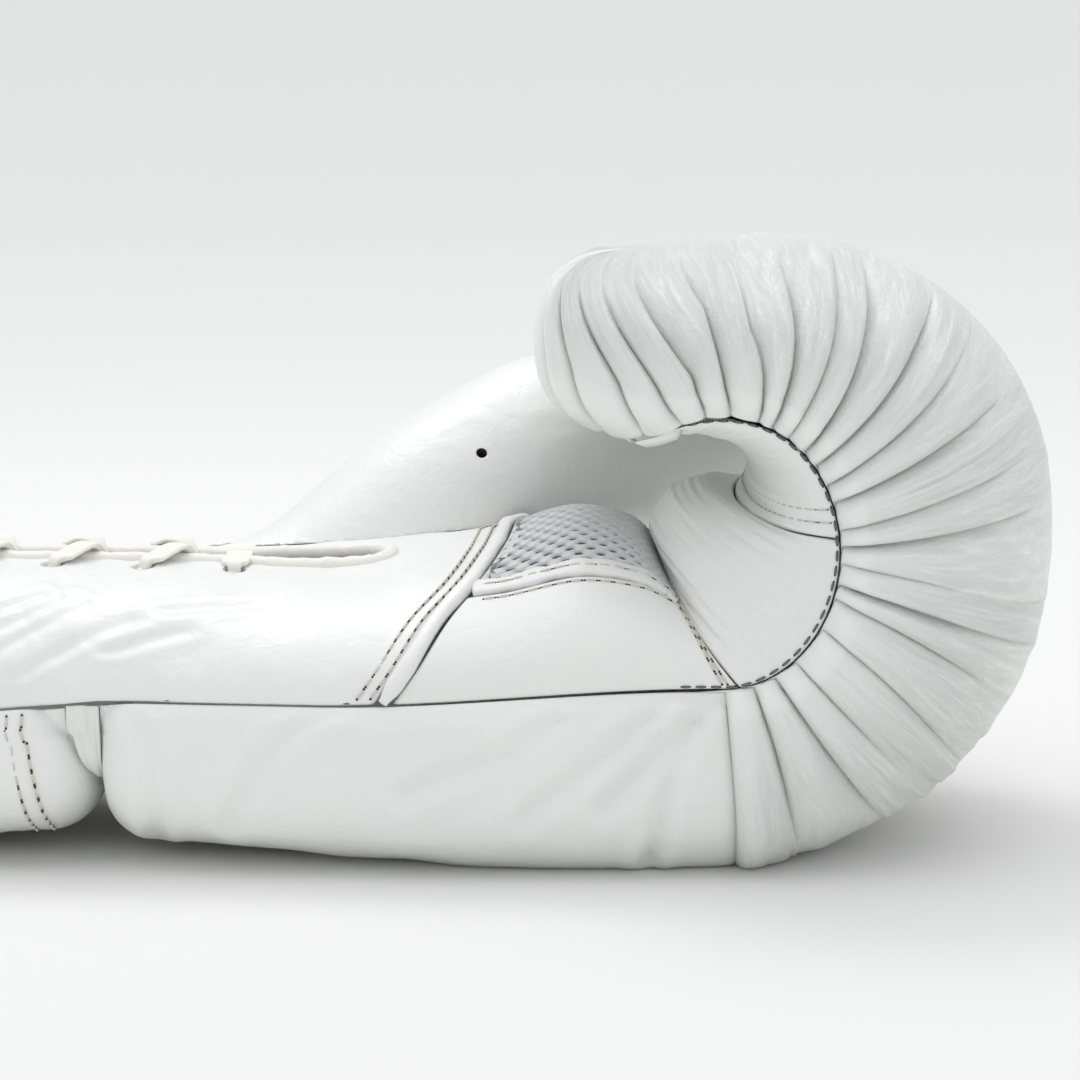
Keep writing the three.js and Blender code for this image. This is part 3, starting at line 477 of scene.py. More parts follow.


# %% [markdown]
# The outside is white full-grain cowhide with a thin polished coat: a wide, soft gleam over
# faint grain. Where it is gathered, fine creases break the gleam. The palm's lining leather
# is matter. The binding is cream leather, the lace is woven cotton and the net is knitted
# polyester over a backing, so all three look dry. The backing is dark grey-green as painted
# shade: it colours the walls of the net's holes and its underside. The threads are waxed; the
# side seam's dark grey thread is partly painted shade of the seam's groove. Needle holes are
# only a dark, matt spot of painted shade. Real grain is about 0.4 mm, too fine to show here,
# so its pebbles are drawn 1.1 mm apart. Wrinkles are about 7 mm and patches of tone about 30
# mm, as on hide.

# %% Leather


def leather_finish(name, tint, shade, roughness, grain, wrinkle, crease=0.0):
    """Full-grain leather: a fine pebble, soft wrinkles and slightly uneven gloss."""
    material, tree = new_material(name)
    place = add_node(tree, "TexCoord").outputs["Object"]
    pebble = add_node(tree, "TexVoronoi", {"feature": "SMOOTH_F1"}, Vector=place, Scale=1 / (1.1 * MM),
                      Smoothness=0.4)
    crumple = add_node(tree, "TexNoise", Vector=place, Scale=1 / (7 * MM), Detail=6.0, Roughness=0.6,
                       Distortion=0.8)
    cloud = add_node(tree, "TexNoise", Vector=place, Scale=1 / (30 * MM), Detail=3.0)
    fine = add_node(tree, "Bump", Strength=grain, Distance=0.16 * MM, Height=pebble.outputs["Distance"])
    soft = add_node(tree, "Bump", Strength=wrinkle, Distance=1.1 * MM, Height=crumple.outputs["Fac"],
                    Normal=fine.outputs["Normal"])
    normal = soft.outputs["Normal"]
    if crease:
        run = add_node(tree, "Attribute", {"attribute_name": "weave"}).outputs["Vector"]
        amount = add_node(tree, "Math", {"operation": "MULTIPLY"},
                          _0=add_node(tree, "SeparateXYZ", Vector=run).outputs["Z"], _1=crease)
        drawn = add_node(tree, "Mapping", Vector=run, Scale=(0.12, 0.4, 0))
        lines = add_node(tree, "TexNoise", Vector=drawn.outputs["Vector"], Scale=1.0, Detail=6.0,
                         Roughness=0.62, Distortion=2.2)
        ridged = add_node(tree, "Math", {"operation": "PINGPONG"}, _0=lines.outputs["Fac"], _1=0.11)
        normal = add_node(tree, "Bump", Strength=amount.outputs["Value"], Distance=4 * MM,
                          Height=ridged.outputs["Value"], Normal=normal).outputs["Normal"]
    mixed = add_node(tree, "Mix", {"data_type": "RGBA"}, _0=cloud.outputs["Fac"])
    mixed.inputs[6].default_value = colour(tint)
    mixed.inputs[7].default_value = colour(shade)
    gloss = add_node(tree, "MapRange", Value=crumple.outputs["Fac"], To_Min=roughness - 0.06,
                     To_Max=roughness + 0.1)
    shader = add_node(tree, "BsdfPrincipled", Base_Color=mixed.outputs[2], IOR=1.5,
                      Roughness=gloss.outputs["Result"], Normal=normal)
    add_node(tree, "OutputMaterial", Surface=shader.outputs["BSDF"])
    return material


white_leather = leather_finish("white_full_grain_leather", "#F4F5F2", "#EEF0EE", 0.33, 0.25, 0.4)
creased_leather = leather_finish("white_creased_leather", "#F4F5F2", "#EEF0EE", 0.3, 0.25, 0.35, crease=0.55)
soft_leather = leather_finish("white_lining_leather", "#F1F2EE", "#EAECEA", 0.46, 0.3, 0.35)
cream_binding = leather_finish("cream_edge_binding", "#F5F4EE", "#EFEDE6", 0.45, 0.35, 0.35)
plain_cotton = leather_finish("ivory_cotton_lace", "#F6F5EE", "#F0EEE5", 0.85, 0.3, 0.2)
net_thread = leather_finish("pale_polyester_net", "#D9DCDB", "#CED2D1", 0.7, 0.3, 0.2)
# Painted shade: the backing's dark grey-green stands for the shadow seen in the net's holes. It goes on the
# hole walls and the net's underside.
net_backing_shade = leather_finish("grey_green_backing_painted_shade", "#6F7A77", "#5F6A68", 0.9, 0.3, 0.2)
pale_thread = leather_finish("waxed_linen_thread", "#DEDACD", "#CFCABB", 0.6, 0.2, 0.1)
join_thread = leather_finish("white_bonded_thread", "#DEDDD6", "#CFCDC5", 0.6, 0.2, 0.1)
# Partly painted shade: the side seam's thread is drawn dark grey to stand also for the shade in the seam's
# groove.
seam_stitch_shade = leather_finish("seam_stitch_painted_shade", "#77787B", "#5F6063", 0.7, 0.2, 0.1)
# Painted shade: a dark, matt spot for the needle holes and for the inside of the thumb's vent hole.
painted_hole_shade = leather_finish("needle_hole_shadow", "#4A443C", "#3E3933", 0.9, 0.1, 0.1)

# %% [markdown]
# ## The padded shell
#
# One thick piece of leather is stretched over foam, from the wrist over the knuckles to the
# fingertips. It is longer than the palm it is sewn to, so the maker gathers it into pleats
# round the curl. Each pleat is a sharp fold with a puffed lobe beside it. Cloth simulation
# would smooth these folds away, so the shell is drawn as a loft whose columns follow the
# pleats, close together where a fold is sharp.

# %% Pleats
PLEAT_DEPTH = 3.9
LOW_BULGE = 4.6
PLEATS = [  # turn at the seam, turn at the rim, depth, share at which it fades out
    (-89, -90, 1, 1.85), (-75, -80, 0.9, 1.6), (-64, -62, 0.9, 1.75), (-52, -53, 0.6, 1.5),
    (-33, -45, 0.6, 1.7), (-19, -30, 0.75, 1.65), (-13, -18, 1, 1.65), (-4, -11, 0.5, 1.3),
    (3, 7, 1, 1.75), (10, 19, 0.6, 1.65), (22, 32, 1, 1.7), (30, 47, 0.8, 1.7),
    (40, 57, 1, 1.87), (48, 72, 1, 1.82), (58, 79, 0.6, 1.87), (67, 89, 1, 1.83),
    (74, 104, 0.9, 1.55), (88, 121, 1, 1.83), (100, 138, 0.9, 1.76), (112, 151, 0.9, 1.65),
    (125, 162, 0.9, 1.6), (146, 170, 0.9, 1.58), (165, 175, 0.8, 1.35),
]
STROKES = [  # soft wrinkles of the palm-up pad: x and z of their points, from the side
    [(137, 40), (130, 27), (125, 6)], [(134, 38), (125, 28), (115, 19)],
    [(125, 39), (116, 31), (97, 17)], [(104, 38), (92, 30), (70, 22)], [(52, 40), (40, 31), (30, 16)],
    [(8, 38), (14, 26), (12, 12)],
]
rng = np.random.default_rng(7)
LATTICE = rng.random((256, 256))


def value_noise(u, v, seed=0):
    """Smooth noise between -1 and 1, the same at each run."""
    iu, iv = np.floor(u).astype(int), np.floor(v).astype(int)
    fu, fv = u - iu, v - iv
    fu, fv = fu * fu * (3 - 2 * fu), fv * fv * (3 - 2 * fv)
    iu, iv = iu + 37 * seed, iv + 91 * seed

    def at(i, j):
        return LATTICE[(iu + i) % 256, (iv + j) % 256]

    return 2 * lerp(lerp(at(0, 0), at(1, 0), fu), lerp(at(0, 1), at(1, 1), fu), fv) - 1


def pleat_columns():
    """Turns of the columns, closer together beside each fold."""
    edges = [row[0] for row in PLEATS] + [180]
    turns = [np.linspace(-180, edges[0], 120, endpoint=False)]
    for a, b in zip(edges[:-1], edges[1:]):
        count = max(10, round((b - a) * 1.75))
        phase = (1 - np.cos(np.linspace(0, np.pi, count, endpoint=False))) / 2
        even = np.linspace(0, 1, count, endpoint=False)
        turns.append(lerp(a, b, lerp(even, phase, 0.8)))
    turns.append([180])
    return np.concatenate(turns)


def stroke_dent(points):
    """Depth of the soft wrinkles, whose lines are given as seen from the side."""
    seen = points[..., [0, 2]]
    dent = np.zeros(seen.shape[:-1])
    for number, line in enumerate(STROKES):
        nearest = np.full(dent.shape, 99.0)
        for a, b in zip(np.array(line[:-1], float), np.array(line[1:], float)):
            way = b - a
            share = np.clip(((seen - a) @ way) / (way @ way), 0, 1)
            nearest = np.minimum(nearest, np.linalg.norm(seen - a - share[..., None] * way, axis=-1))
        dent += (1.5 - 0.15 * number) * np.exp(-(nearest / 2.1) ** 2)
        dent -= 0.6 * np.exp(-((nearest - 4.2) / 2.4) ** 2)
    return dent


def radial(turn, share):
    """How far a share lies from the seam, seen from the side, as a share of a pleat's length."""
    height = np.linalg.norm(section(2 + turn / 90)[2], axis=-1)
    tuck = np.sin(np.radians(20 * np.clip(1 - share, 0, 1))) / np.sin(np.radians(20))
    over = height * np.sin(np.radians(90 * np.clip(share - 1, 0, 1))) ** 0.89
    return (8 * (1 - tuck**0.85) + over) / (8 + height)


def shell_relief(turn, share, mirror):
    """How far the leather is drawn in at a point of the shell, in millimetres."""
    seams, rims, depths, ends = np.array([(-200, -200, 0, 1.6), *PLEATS, (180, 180, 0, 1.5)]).T
    i = np.clip(np.searchsorted(seams, turn, side="right") - 1, 0, len(seams) - 2)
    width = seams[i + 1] - seams[i]
    phase = np.clip((turn - seams[i]) / width, 0, 1)
    start = smooth(share, -0.35, 0.5)
    left = depths[i] * start * (1 - smooth(share, ends[i] - 0.5, ends[i]))
    right = depths[i + 1] * start * (1 - smooth(share, ends[i + 1] - 0.5, ends[i + 1]))
    lobe = np.sin(np.pi * phase**0.72) ** 0.6
    dent = PLEAT_DEPTH * lerp(left, right, phase) * (1 - 1.2 * lobe)
    fold = 1.5 * (left * np.exp(-phase * width / 0.55) + right * np.exp(-(1 - phase) * width / 0.4))
    calm = (1 - smooth(turn, 150, 176)) * smooth(turn, -95, -70)
    outer = smooth(share, 0.55, 1.15) * (1 - smooth(share, 1.72, 1.95))
    fine = value_noise(turn / 1.5, share * 1.8 + phase, 1 + mirror)
    ridge = 1 - 2 * np.abs(value_noise(turn / 4.2 + 0.6 * share, share * 1.3, 8 + mirror))
    broad = value_noise(turn / 9, share * 3, 3 + mirror) * (1 - smooth(turn, 150, 176))
    pucker = (1 - smooth(share, 0.1, 0.5)) * smooth(turn, -100, -85) * calm
    wrinkle = (0.42 * fine + 0.5 * ridge) * outer * calm
    broad = broad * smooth(share, 0.3, 1) * (1 - smooth(share, 1.6, 2))
    return dent + fold + wrinkle + 0.45 * broad + 0.3 * pucker


def full_corner(share):
    """The padding bulges out over its flat underside, where the glove's weight rests on it."""
    return LOW_BULGE * smooth(share, 0.95, 1.4) * (1 - smooth(share, 1.75, 2))


def corner_inset(distance, radius):
    left = np.clip(radius - distance, 0, radius)
    return radius - np.sqrt(radius**2 - left**2)


def shell_half(turns, shares, deep, mirror):
    seams, rims = np.array([(-200, -200), *[row[:2] for row in PLEATS], (180, 180)]).T
    turn, share = turns[:, None], shares[None, :]
    wander = 0.9 * value_noise(turn / 6, share * 1.6, 5 + mirror) * smooth(share, 0.3, 1.2)
    wander = wander * smooth(turn, -95, -80) * (1 - smooth(turn, 150, 176))
    rim = np.interp(turn, seams, rims) + wander
    place = 2 + lerp(turn, rim, radial(turn, share)) / 90
    angle = shell_angle(place, share + 0 * turn)
    if deep:
        points = shell_point(place, angle, deep=1.0)
    else:
        corner = corner_inset(along_of(np.maximum(place, 0)), HAND_CORNER)
        relief = shell_relief(turn, share, mirror)
        bare = shell_point(place, angle)
        relief = relief + stroke_dent(bare) * smooth(share, 0.15, 0.6)
        relief = relief - full_corner(share) * (1 - smooth(turn, -92, -62))
        points = shell_point(place, angle, inset=corner + relief)
        points[..., 2] = np.maximum(points[..., 2], 0)
    return points * [1, -1, 1] if mirror else points


def arch(near, far):
    return np.concatenate([near, far[:, -2::-1]], 1)


def shell_marks(turns, shares, mirror):
    """Where the leather's fine creases run: along the first number, in millimetres."""
    turn, share = np.broadcast_arrays(turns[:, None], shares[None, :])
    drawn_in = smooth(turn, -97, -80) * (1 - smooth(turn, 150, 175)) * smooth(share, 0.7, 1.25)
    over = 4 - share if mirror else share
    return np.stack([over * 45, turn * 1.3, 0.12 + 0.88 * drawn_in], -1)


SHELL_ROWS = np.concatenate([np.linspace(0, 0.4, 7)[:-1], np.linspace(0.4, 1, 9)[:-1], np.linspace(1, 2, 47)])
shell_turns = pleat_columns()
inner_turns = np.linspace(-180, 180, 91)
inner_shares = np.linspace(0, 2, 13)
pattern = Pattern()
pattern.wall(
    arch(*[shell_half(shell_turns, SHELL_ROWS, False, side) for side in (0, 1)]),
    arch(*[shell_half(inner_turns, inner_shares, True, side) for side in (0, 1)]),
    closed_end=True,
    marks=arch(*[shell_marks(shell_turns, SHELL_ROWS, side) for side in (0, 1)]),
)
hand_shell = pattern.piece("hand_padding")
dress(hand_shell, creased_leather, ["hand_shell"])

# %% [markdown]
# ## The cuff's pad and the wrist
#
# The cuff's back is a pad of its own. A thin gusset in the notch joins it to the hand, so
# that the wrist can bend.

# %% Cuff pad and gusset


def cuff_point(place, share, deep=0.0, inset=0.0):
    place, share = np.broadcast_arrays(np.asarray(place, float), np.asarray(share, float))
    point = shell_point(place, shell_angle(place, share), deep, inset)
    lean = CUFF_LEAN * smooth(place, -0.5, CUFF_END) * smooth(share, 0.7, 1.6)
    point[..., 0] += lean
    return point


def mirrored(points):
    return points * [1, -1, 1]


def cuff_half(places, shares, deep, mirror):
    place, share = places[:, None], shares[None, :]
    if deep:
        point = cuff_point(place, share, deep=1.0)
    else:
        corner = corner_inset((CUFF_END - place) * CUFF_LENGTH, CUFF_CORNER)
        relief = 0.5 * value_noise(place * 9, share * 3, 11 + mirror)
        relief = relief + 0.2 * value_noise(place * 40, share * 4, 12)
        relief = relief * smooth(share, 0.2, 0.9) - full_corner(share)
        point = cuff_point(place, share, inset=corner + relief)
        point[..., 2] = np.maximum(point[..., 2], 0)
    return mirrored(point) if mirror else point


close_to_end = CUFF_END - 0.126 * (1 - np.linspace(0, 1, 22) ** 0.6)
cuff_places = np.concatenate([np.linspace(-1, -0.2, 60)[:-1], close_to_end])
cuff_shares = np.linspace(0, 2, 46)
pattern = Pattern()
pattern.wall(
    arch(*[cuff_half(cuff_places, cuff_shares, False, side) for side in (0, 1)]),
    arch(*[cuff_half(np.linspace(-1, CUFF_END, 20), inner_shares, True, side) for side in (0, 1)]),
)
cuff_pad = pattern.piece("cuff_padding")
dress(cuff_pad, white_leather, ["cuff_pad"])

GUSSET_DEPTH = 0.55


def gusset_half(count, thickness, mirror):
    share = np.linspace(0, 2, 50)[None, :]
    side = np.linspace(0, 1, count)[:, None]
    place = CUFF_END / 2
    left = cuff_point(CUFF_END, share)[..., 0] + GAP
    fold = 1.1 * np.abs(value_noise(side * 4.2, share * 1.7, 15 + mirror)) * np.sin(np.pi * side)
    bulge = -1.2 * np.sin(np.pi * side) ** 2 if thickness == 0 else 0
    angle = shell_angle(np.array(place), share)
    point = shell_point(place, angle, deep=GUSSET_DEPTH, inset=thickness + fold + bulge)
    point[..., 0] = lerp(left, -GAP, side)
    return mirrored(point) if mirror else point


pattern = Pattern()
pattern.wall(
    arch(*[gusset_half(24, 0, side) for side in (0, 1)]),
    arch(*[gusset_half(24, LEATHER, side) for side in (0, 1)]),
)
gusset = pattern.piece("wrist_fold")
dress(gusset, soft_leather, ["wrist_gusset"])

# %% [markdown]
# ## The palm's panels
#
# The palm side is cut from thin leather in several panels. Each is a wall 2.4 mm thick whose
# edges are turned in, so its outside rounds down over the last millimetre.

# %% Panel lines
HEEL_CREST, HEEL_THUMB = 0.641, 0.706
HEEL_LINE = [  # angle, place
    (0, 0.448), (16, 0.487), (38, 0.535), (57, 0.591), (76, 0.627), (90, HEEL_CREST),
]
heel_line_at = curve_through(HEEL_LINE)
FAR_LINE = 118
FOLD = 2.07
EDGE_SHIFT = 2 * GAP / HAND_LENGTH
PIPING_HALF = 3.0
PIPING_TO = FAR_LINE - 5
MESH_TURN = 52
EDGE_TURN = 4.5


def heel_end(angle):
    angle = np.asarray(angle, float)
    near = heel_line_at(np.minimum(angle, 90))[0]
    return np.where(angle > 90, lerp(HEEL_CREST, HEEL_THUMB, smooth(angle, 90, 135)), near)


def finger_start(angle):
    return 1.09 - 0.03 * np.sin(np.radians(angle)) ** 2


def piping_shift(angle):
    return EDGE_SHIFT + PIPING_HALF * (1 - smooth(angle, PIPING_TO + 3, PIPING_TO + 12)) / HAND_LENGTH


def palm_from(angle):
    return heel_end(angle) + piping_shift(angle)


def heel_to(angle):
    angle = np.asarray(angle, float)
    shift = np.where(angle < PIPING_TO + 2, 0.7 / HAND_LENGTH, piping_shift(angle))
    return heel_end(angle) - shift


def palm_to(angle):
    return finger_start(angle) - EDGE_SHIFT


def constant(value):
    return lambda angle: value + 0 * np.asarray(angle, float)


# %% Panels


def edge_steps(count, edge):
    """Steps from 0 to 1 with extra ones close to both ends."""
    near = edge * np.array([0, 0.25, 0.55, 1])
    return np.concatenate([near[:-1], np.linspace(edge, 1 - edge, count), 1 - near[-2::-1]])


def no_relief(place, angle):
    return 0.0


def panel(name, start, end, angle_from, angle_to, columns, rows, relief=no_relief, roll=(1, 1, 1, 1)):
    """A thin panel. roll says which of its edges are turned in: start, end, first, last."""
    turn_p, turn_a = 1.2 / columns, 1.2 / rows
    outside = (edge_steps(columns, turn_p)[:, None], edge_steps(rows, turn_a)[None, :])
    inside = (np.linspace(0, 1, columns // 4)[:, None], np.linspace(0, 1, rows // 4)[None, :])
    grids = []
    for sp, sa in (outside, inside):
        angle = lerp(angle_from, angle_to, sa)
        place = lerp(start(angle), end(angle), sp)
        angle = angle + 0 * place
        if sp is inside[0]:
            lift = np.full(place.shape, -LEATHER)
        else:
            lift = relief(place, angle)
            edges = ((turn_p, sp), (turn_p, 1 - sp), (turn_a, sa), (turn_a, 1 - sa))
            for (far, share), turned in zip(edges, roll):
                lift = lift - turned * (1 - np.sin(np.pi / 2 * np.clip(share / far, 0, 1)))
        grids.append(palm_point(place, angle, lift))
    pattern = Pattern()
    pattern.wall(*grids)
    return pattern.piece(name)


HEEL_FOLDS = [  # lines of (place, angle) along which the leather has folded
    [(-0.24, 24), (-0.12, 38), (-0.04, 48)], [(-0.24, 33), (-0.15, 44), (-0.07, 52)],
    [(-0.17, 14), (-0.06, 27), (0.05, 40)], [(-0.24, 45), (-0.14, 53)], [(0.02, 24), (0.07, 29), (0.13, 34)],
    [(0.1, 45), (0.24, 49)],
]


def fold_dent(place, angle, folds, depth, width):
    """Depth of soft grooves along lines of the palm's surface, with a raised lip beside each."""
    seen = np.stack(np.broadcast_arrays(place * HAND_LENGTH, angle * 1.1), -1)
    dent = np.zeros(seen.shape[:-1])
    for fold in folds:
        line = np.array(fold, float) * [HAND_LENGTH, 1.1]
        nearest = np.full(dent.shape, 99.0)
        for a, b in zip(line[:-1], line[1:]):
            way = b - a
            share = np.clip(((seen - a) @ way) / (way @ way), 0, 1)
            nearest = np.minimum(nearest, np.linalg.norm(seen - a - share[..., None] * way, axis=-1))
        groove = np.exp(-(nearest / width) ** 2)
        lip = np.exp(-((nearest - 2 * width) / width) ** 2)
        dent += depth * (groove - 0.5 * lip)
    return dent


def heel_relief(place, angle):
    soft = 0.5 * value_noise(place * 14, angle / 22, 21)
    gather = value_noise(place * 45 + angle / 9, angle / 14, 22) * (1 - smooth(place, -0.1, 0.35))
    pucker = value_noise(place * 60, angle / 25 + place * 8, 24) * (1 - smooth(angle, 4, 20))
    pucker = pucker * smooth(angle, 0, 3) * smooth(place, -0.05, 0.05)
    pucker = pucker * (1 - smooth(place, 0.3, 0.45))
    lift = soft + (0.3 * gather + 0.45 * pucker) * smooth(angle, 1, 10)
    return lift - fold_dent(place, angle, HEEL_FOLDS, 0.55, 2.7)


heel = panel("heel_of_palm", constant(-1), heel_to, 0, FAR_LINE, 190, 100, heel_relief)


def band_rise(place, angle):
    """The band stands up beside the slot, because the thumb is sewn in under it."""
    along = smooth(place, 0.02, 0.5) * (1 - 0.35 * smooth(place, 0.6, 0.7))
    across = lerp(0.7, 1, smooth(angle, FAR_LINE, FAR_LINE + 5)) * (1 - smooth(angle, 130, 150))
    return BAND_RISE * along * across


def band_relief(place, angle):
    return band_rise(place, angle) + 0.35 * value_noise(place * 22, angle / 16, 23)


thumb_band = panel("thumb_band", constant(-1), heel_to, FAR_LINE + 1, 180, 170, 40, band_relief)
side_panel = panel("palm_side_panel", palm_from, palm_to, 0, MESH_TURN - EDGE_TURN, 80, 50)
far_panel = panel("palm_far_panel", palm_from, palm_to, 180 - MESH_TURN + EDGE_TURN, 180, 80, 50)


def grip_relief(place, angle):
    wave = value_noise(place * 30, angle / 30, 31)
    return 0.4 * wave * smooth(angle, 4, 20)


grip = panel("grip_cover", lambda a: finger_start(a) + EDGE_SHIFT, constant(FOLD - EDGE_SHIFT),
             0, 180, 110, 130, grip_relief)
finger_lining = panel("finger_lining", constant(FOLD + EDGE_SHIFT), constant(4),
                      0, 180, 150, 130, grip_relief)
dress(thumb_band, white_leather, ["thumb_base"])
dress(side_panel, soft_leather, ["palm_side"])
dress(far_panel, soft_leather, ["palm_far"])
dress(grip, soft_leather, ["grip_panel"])
dress(finger_lining, soft_leather, ["finger_panel"])

# %% [markdown]
# ## Thumb
#
# The thumb is a padded tube that leaves the palm beside the heel and lies behind the
# fingertips. It is lofted round its own line and cut off where it meets the palm.

# %% Thumb
THUMB_RADIUS = 25.0


def thumb_spine(at):
    along, out, up, girth = thumb_line_at(at)
    return vec(along * FIST_LENGTH, out * FIST_HALF_WIDTH, up * FIST_HEIGHT), girth * THUMB_RADIUS


def thumb_rings(count, sides, deep):
    at = np.concatenate([np.linspace(0, 1, count), np.ones(14)])
    tip = np.radians(np.concatenate([np.zeros(count), np.linspace(6, 88, 14)]))
    centre, girth = thumb_spine(at)
    ahead, behind = thumb_spine(np.minimum(at + 0.01, 1))[0], thumb_spine(at - 0.01)[0]
    along = unit(ahead - behind)
    side = unit(np.cross(along, [0, 0, 1]))
    rise = np.cross(side, along)
    girth = girth - deep
    turn = np.linspace(0, 2 * np.pi, sides, endpoint=False)[None, :, None]
    centre = centre + along * (girth * np.sin(tip))[:, None]
    radius = girth * np.cos(tip)
    around = np.sin(turn[..., 0]) * 2 + 7
    soft = 0.0 if deep else 0.5 * value_noise(at[:, None] * 9, around, 41) - 0.35 * np.abs(
        value_noise(at[:, None] * 26 + around * 2, around * 1.5, 42)) * smooth(at[:, None], 0.35, 0.6)
    radius = radius[:, None] + soft * np.cos(tip)[:, None]
    return centre[:, None] + radius[..., None] * (side[:, None] * np.cos(turn) + rise[:, None] * np.sin(turn))


pattern = Pattern()
pattern.tube(thumb_rings(110, 96, 0))
thumb = pattern.piece("thumb_padding")


def palm_block(clear, places, angles, shares):
    """The hand as one closed block, to cut other pieces with."""
    place = places[:, None]
    near = shell_point(place, shell_angle(place, shares[None, :]), inset=-clear)
    over = palm_point(place, angles[None, :], clear)
    pattern = Pattern()
    pattern.tube(np.concatenate([near, mirrored(near)[:, -2::-1], over], 1))
    return pattern.piece("palm_block")


def cut(piece, tool):
    only(piece)
    change = piece.modifiers.new("cut", "BOOLEAN")
    change.operation = "DIFFERENCE"
    change.solver = "EXACT"
    change.object = tool
    bpy.ops.object.modifier_apply(modifier=change.name)


VENT_PLACE, VENT_TURN, VENT_RADIUS = 0.51, np.radians(38), 1.4
centre, girth = thumb_spine(np.array(VENT_PLACE))
ahead, behind = thumb_spine(np.array(VENT_PLACE + 0.01))[0], thumb_spine(np.array(VENT_PLACE - 0.01))[0]
along = unit(ahead - behind)
side = unit(np.cross(along, [0, 0, 1]))
way = side * np.cos(VENT_TURN) + np.cross(side, along) * np.sin(VENT_TURN)
across = unit(np.cross(way, along))
ring = np.linspace(0, 2 * np.pi, 20, endpoint=False)[:, None]
hole = VENT_RADIUS * (along * np.cos(ring) + across * np.sin(ring))
pattern = Pattern()
pattern.tube(np.stack([centre + way * (girth - 7) + hole, centre + way * (girth + 4) + hole]))
punch = pattern.piece("vent_tool")
cut(thumb, punch)
bpy.data.objects.remove(punch)
block = palm_block(0.2, np.linspace(-0.2, 1.85, 60), np.linspace(178, 2, 60), np.linspace(0.15, 2, 14))
cut(thumb, block)
bpy.data.objects.remove(block)
dress(thumb, white_leather, ["thumb"], more=[painted_hole_shade])
# The vent hole's wall, below its first 0.8 mm, takes the dark second finish: painted shade inside the hole.
mouth_at = (centre + way * girth) * MM + [NOTCH_X, MIDDLE_Y, 0]
for face in thumb.data.polygons:
    apart = np.array(face.center) - mouth_at
    depth = apart @ way
    inside = np.linalg.norm(apart - depth * way) < 1.06 * VENT_RADIUS * MM and depth < -0.8 * MM
    face.material_index = 1 if inside and depth > -9 * MM else 0

# %% [markdown]
# ## Lacing slot and eyelets
#
# The heel panel is cut through where the lace runs. The slot is widest past the first
# eyelets, and the lace draws it together above them. A Boolean modifier makes the cuts.

# %% Slot and eyelets
SLOT_LENGTH, SLOT_HALF, SLOT_CLOSED, SLOT_WIDENS = 62.0, 5.2, 2.6, 14.0
ROLL_RADIUS = 2.2
EYELET_RADIUS, EYELET_PITCH, EYELET_FIRST, EYELET_ROWS, EYELET_SPREAD = 2.8, 21.5, 27.8, 6, 12.5
CUFF_ROLL = 2.6


def slot_outline(extra, start, count):
    """x and y of the slot's edge, moved outwards, from one side round its end to the other."""
    turn_x = SLOT_LENGTH - SLOT_HALF
    x = np.linspace(start, turn_x, count)[:-1]
    half = lerp(SLOT_CLOSED, SLOT_HALF, smooth(x, EYELET_FIRST, EYELET_FIRST + SLOT_WIDENS)) + extra
    a = np.radians(np.linspace(-90, 90, 25))
    end = np.stack([turn_x + (SLOT_HALF + extra) * np.cos(a), (SLOT_HALF + extra) * np.sin(a)], -1)
    return np.concatenate([np.stack([x, -half], -1), end, np.stack([x, half], -1)[::-1]])


def prism(name, outline, low, high):
    pattern = Pattern()
    pattern.tube(np.stack([np.column_stack([outline, np.full(len(outline), z)]) for z in (low, high)]))
    return pattern.piece(name)


def circle(x, y, radius, sides=16):
    a = np.linspace(0, 2 * np.pi, sides, endpoint=False)
    return np.stack([x + radius * np.cos(a), y + radius * np.sin(a)], -1)


slot = prism("slot_tool", slot_outline(2 * ROLL_RADIUS - 1.2, -CUFF_LENGTH - 4, 60), SEAM_HEIGHT, FIST_HEIGHT)
cut(heel, slot)
bpy.data.objects.remove(slot)
for row in range(EYELET_ROWS):
    for side in (-1, 1):
        ring = circle(EYELET_FIRST - row * EYELET_PITCH, side * EYELET_SPREAD, EYELET_RADIUS)
        punch = prism("eyelet_tool", ring, SEAM_HEIGHT + 6, SEAM_TOP)
        cut(heel, punch)
        bpy.data.objects.remove(punch)
dress(settle(heel), white_leather, ["heel_panel"])

# %% [markdown]
# ## Rolled strips
#
# The seams beside the net, the end of the heel panel, the slot and the cuff's mouth are
# covered by rolled strips. Each is a tube of oval section that runs along a row of points.

# %% Strips


def roll_rings(points, ups, half, height, sides=20, power=1.0):
    along = unit(np.gradient(points, axis=0))
    side = unit(np.cross(along, ups))
    rise = np.cross(side, along)
    turn = np.linspace(0, 2 * np.pi, sides, endpoint=False)
    half, height = [np.broadcast_to(size, len(points))[:, None] for size in (half, height)]
    across, up = half * rounded(np.cos(turn), power), height * rounded(np.sin(turn), power)
    return points[:, None] + side[:, None] * across[..., None] + rise[:, None] * up[..., None]


def strip(name, points, ups, half, height, nodes, material,
          wobble=0.12, power=0.8):
    count = np.arange(len(points))
    uneven = 1 + wobble * value_noise(count / 5.0, count * 0, len(name))
    pattern = Pattern()
    pattern.tube(roll_rings(points, ups, half * uneven, height * uneven, power=power))
    return dress(pattern.piece(name), material, nodes)


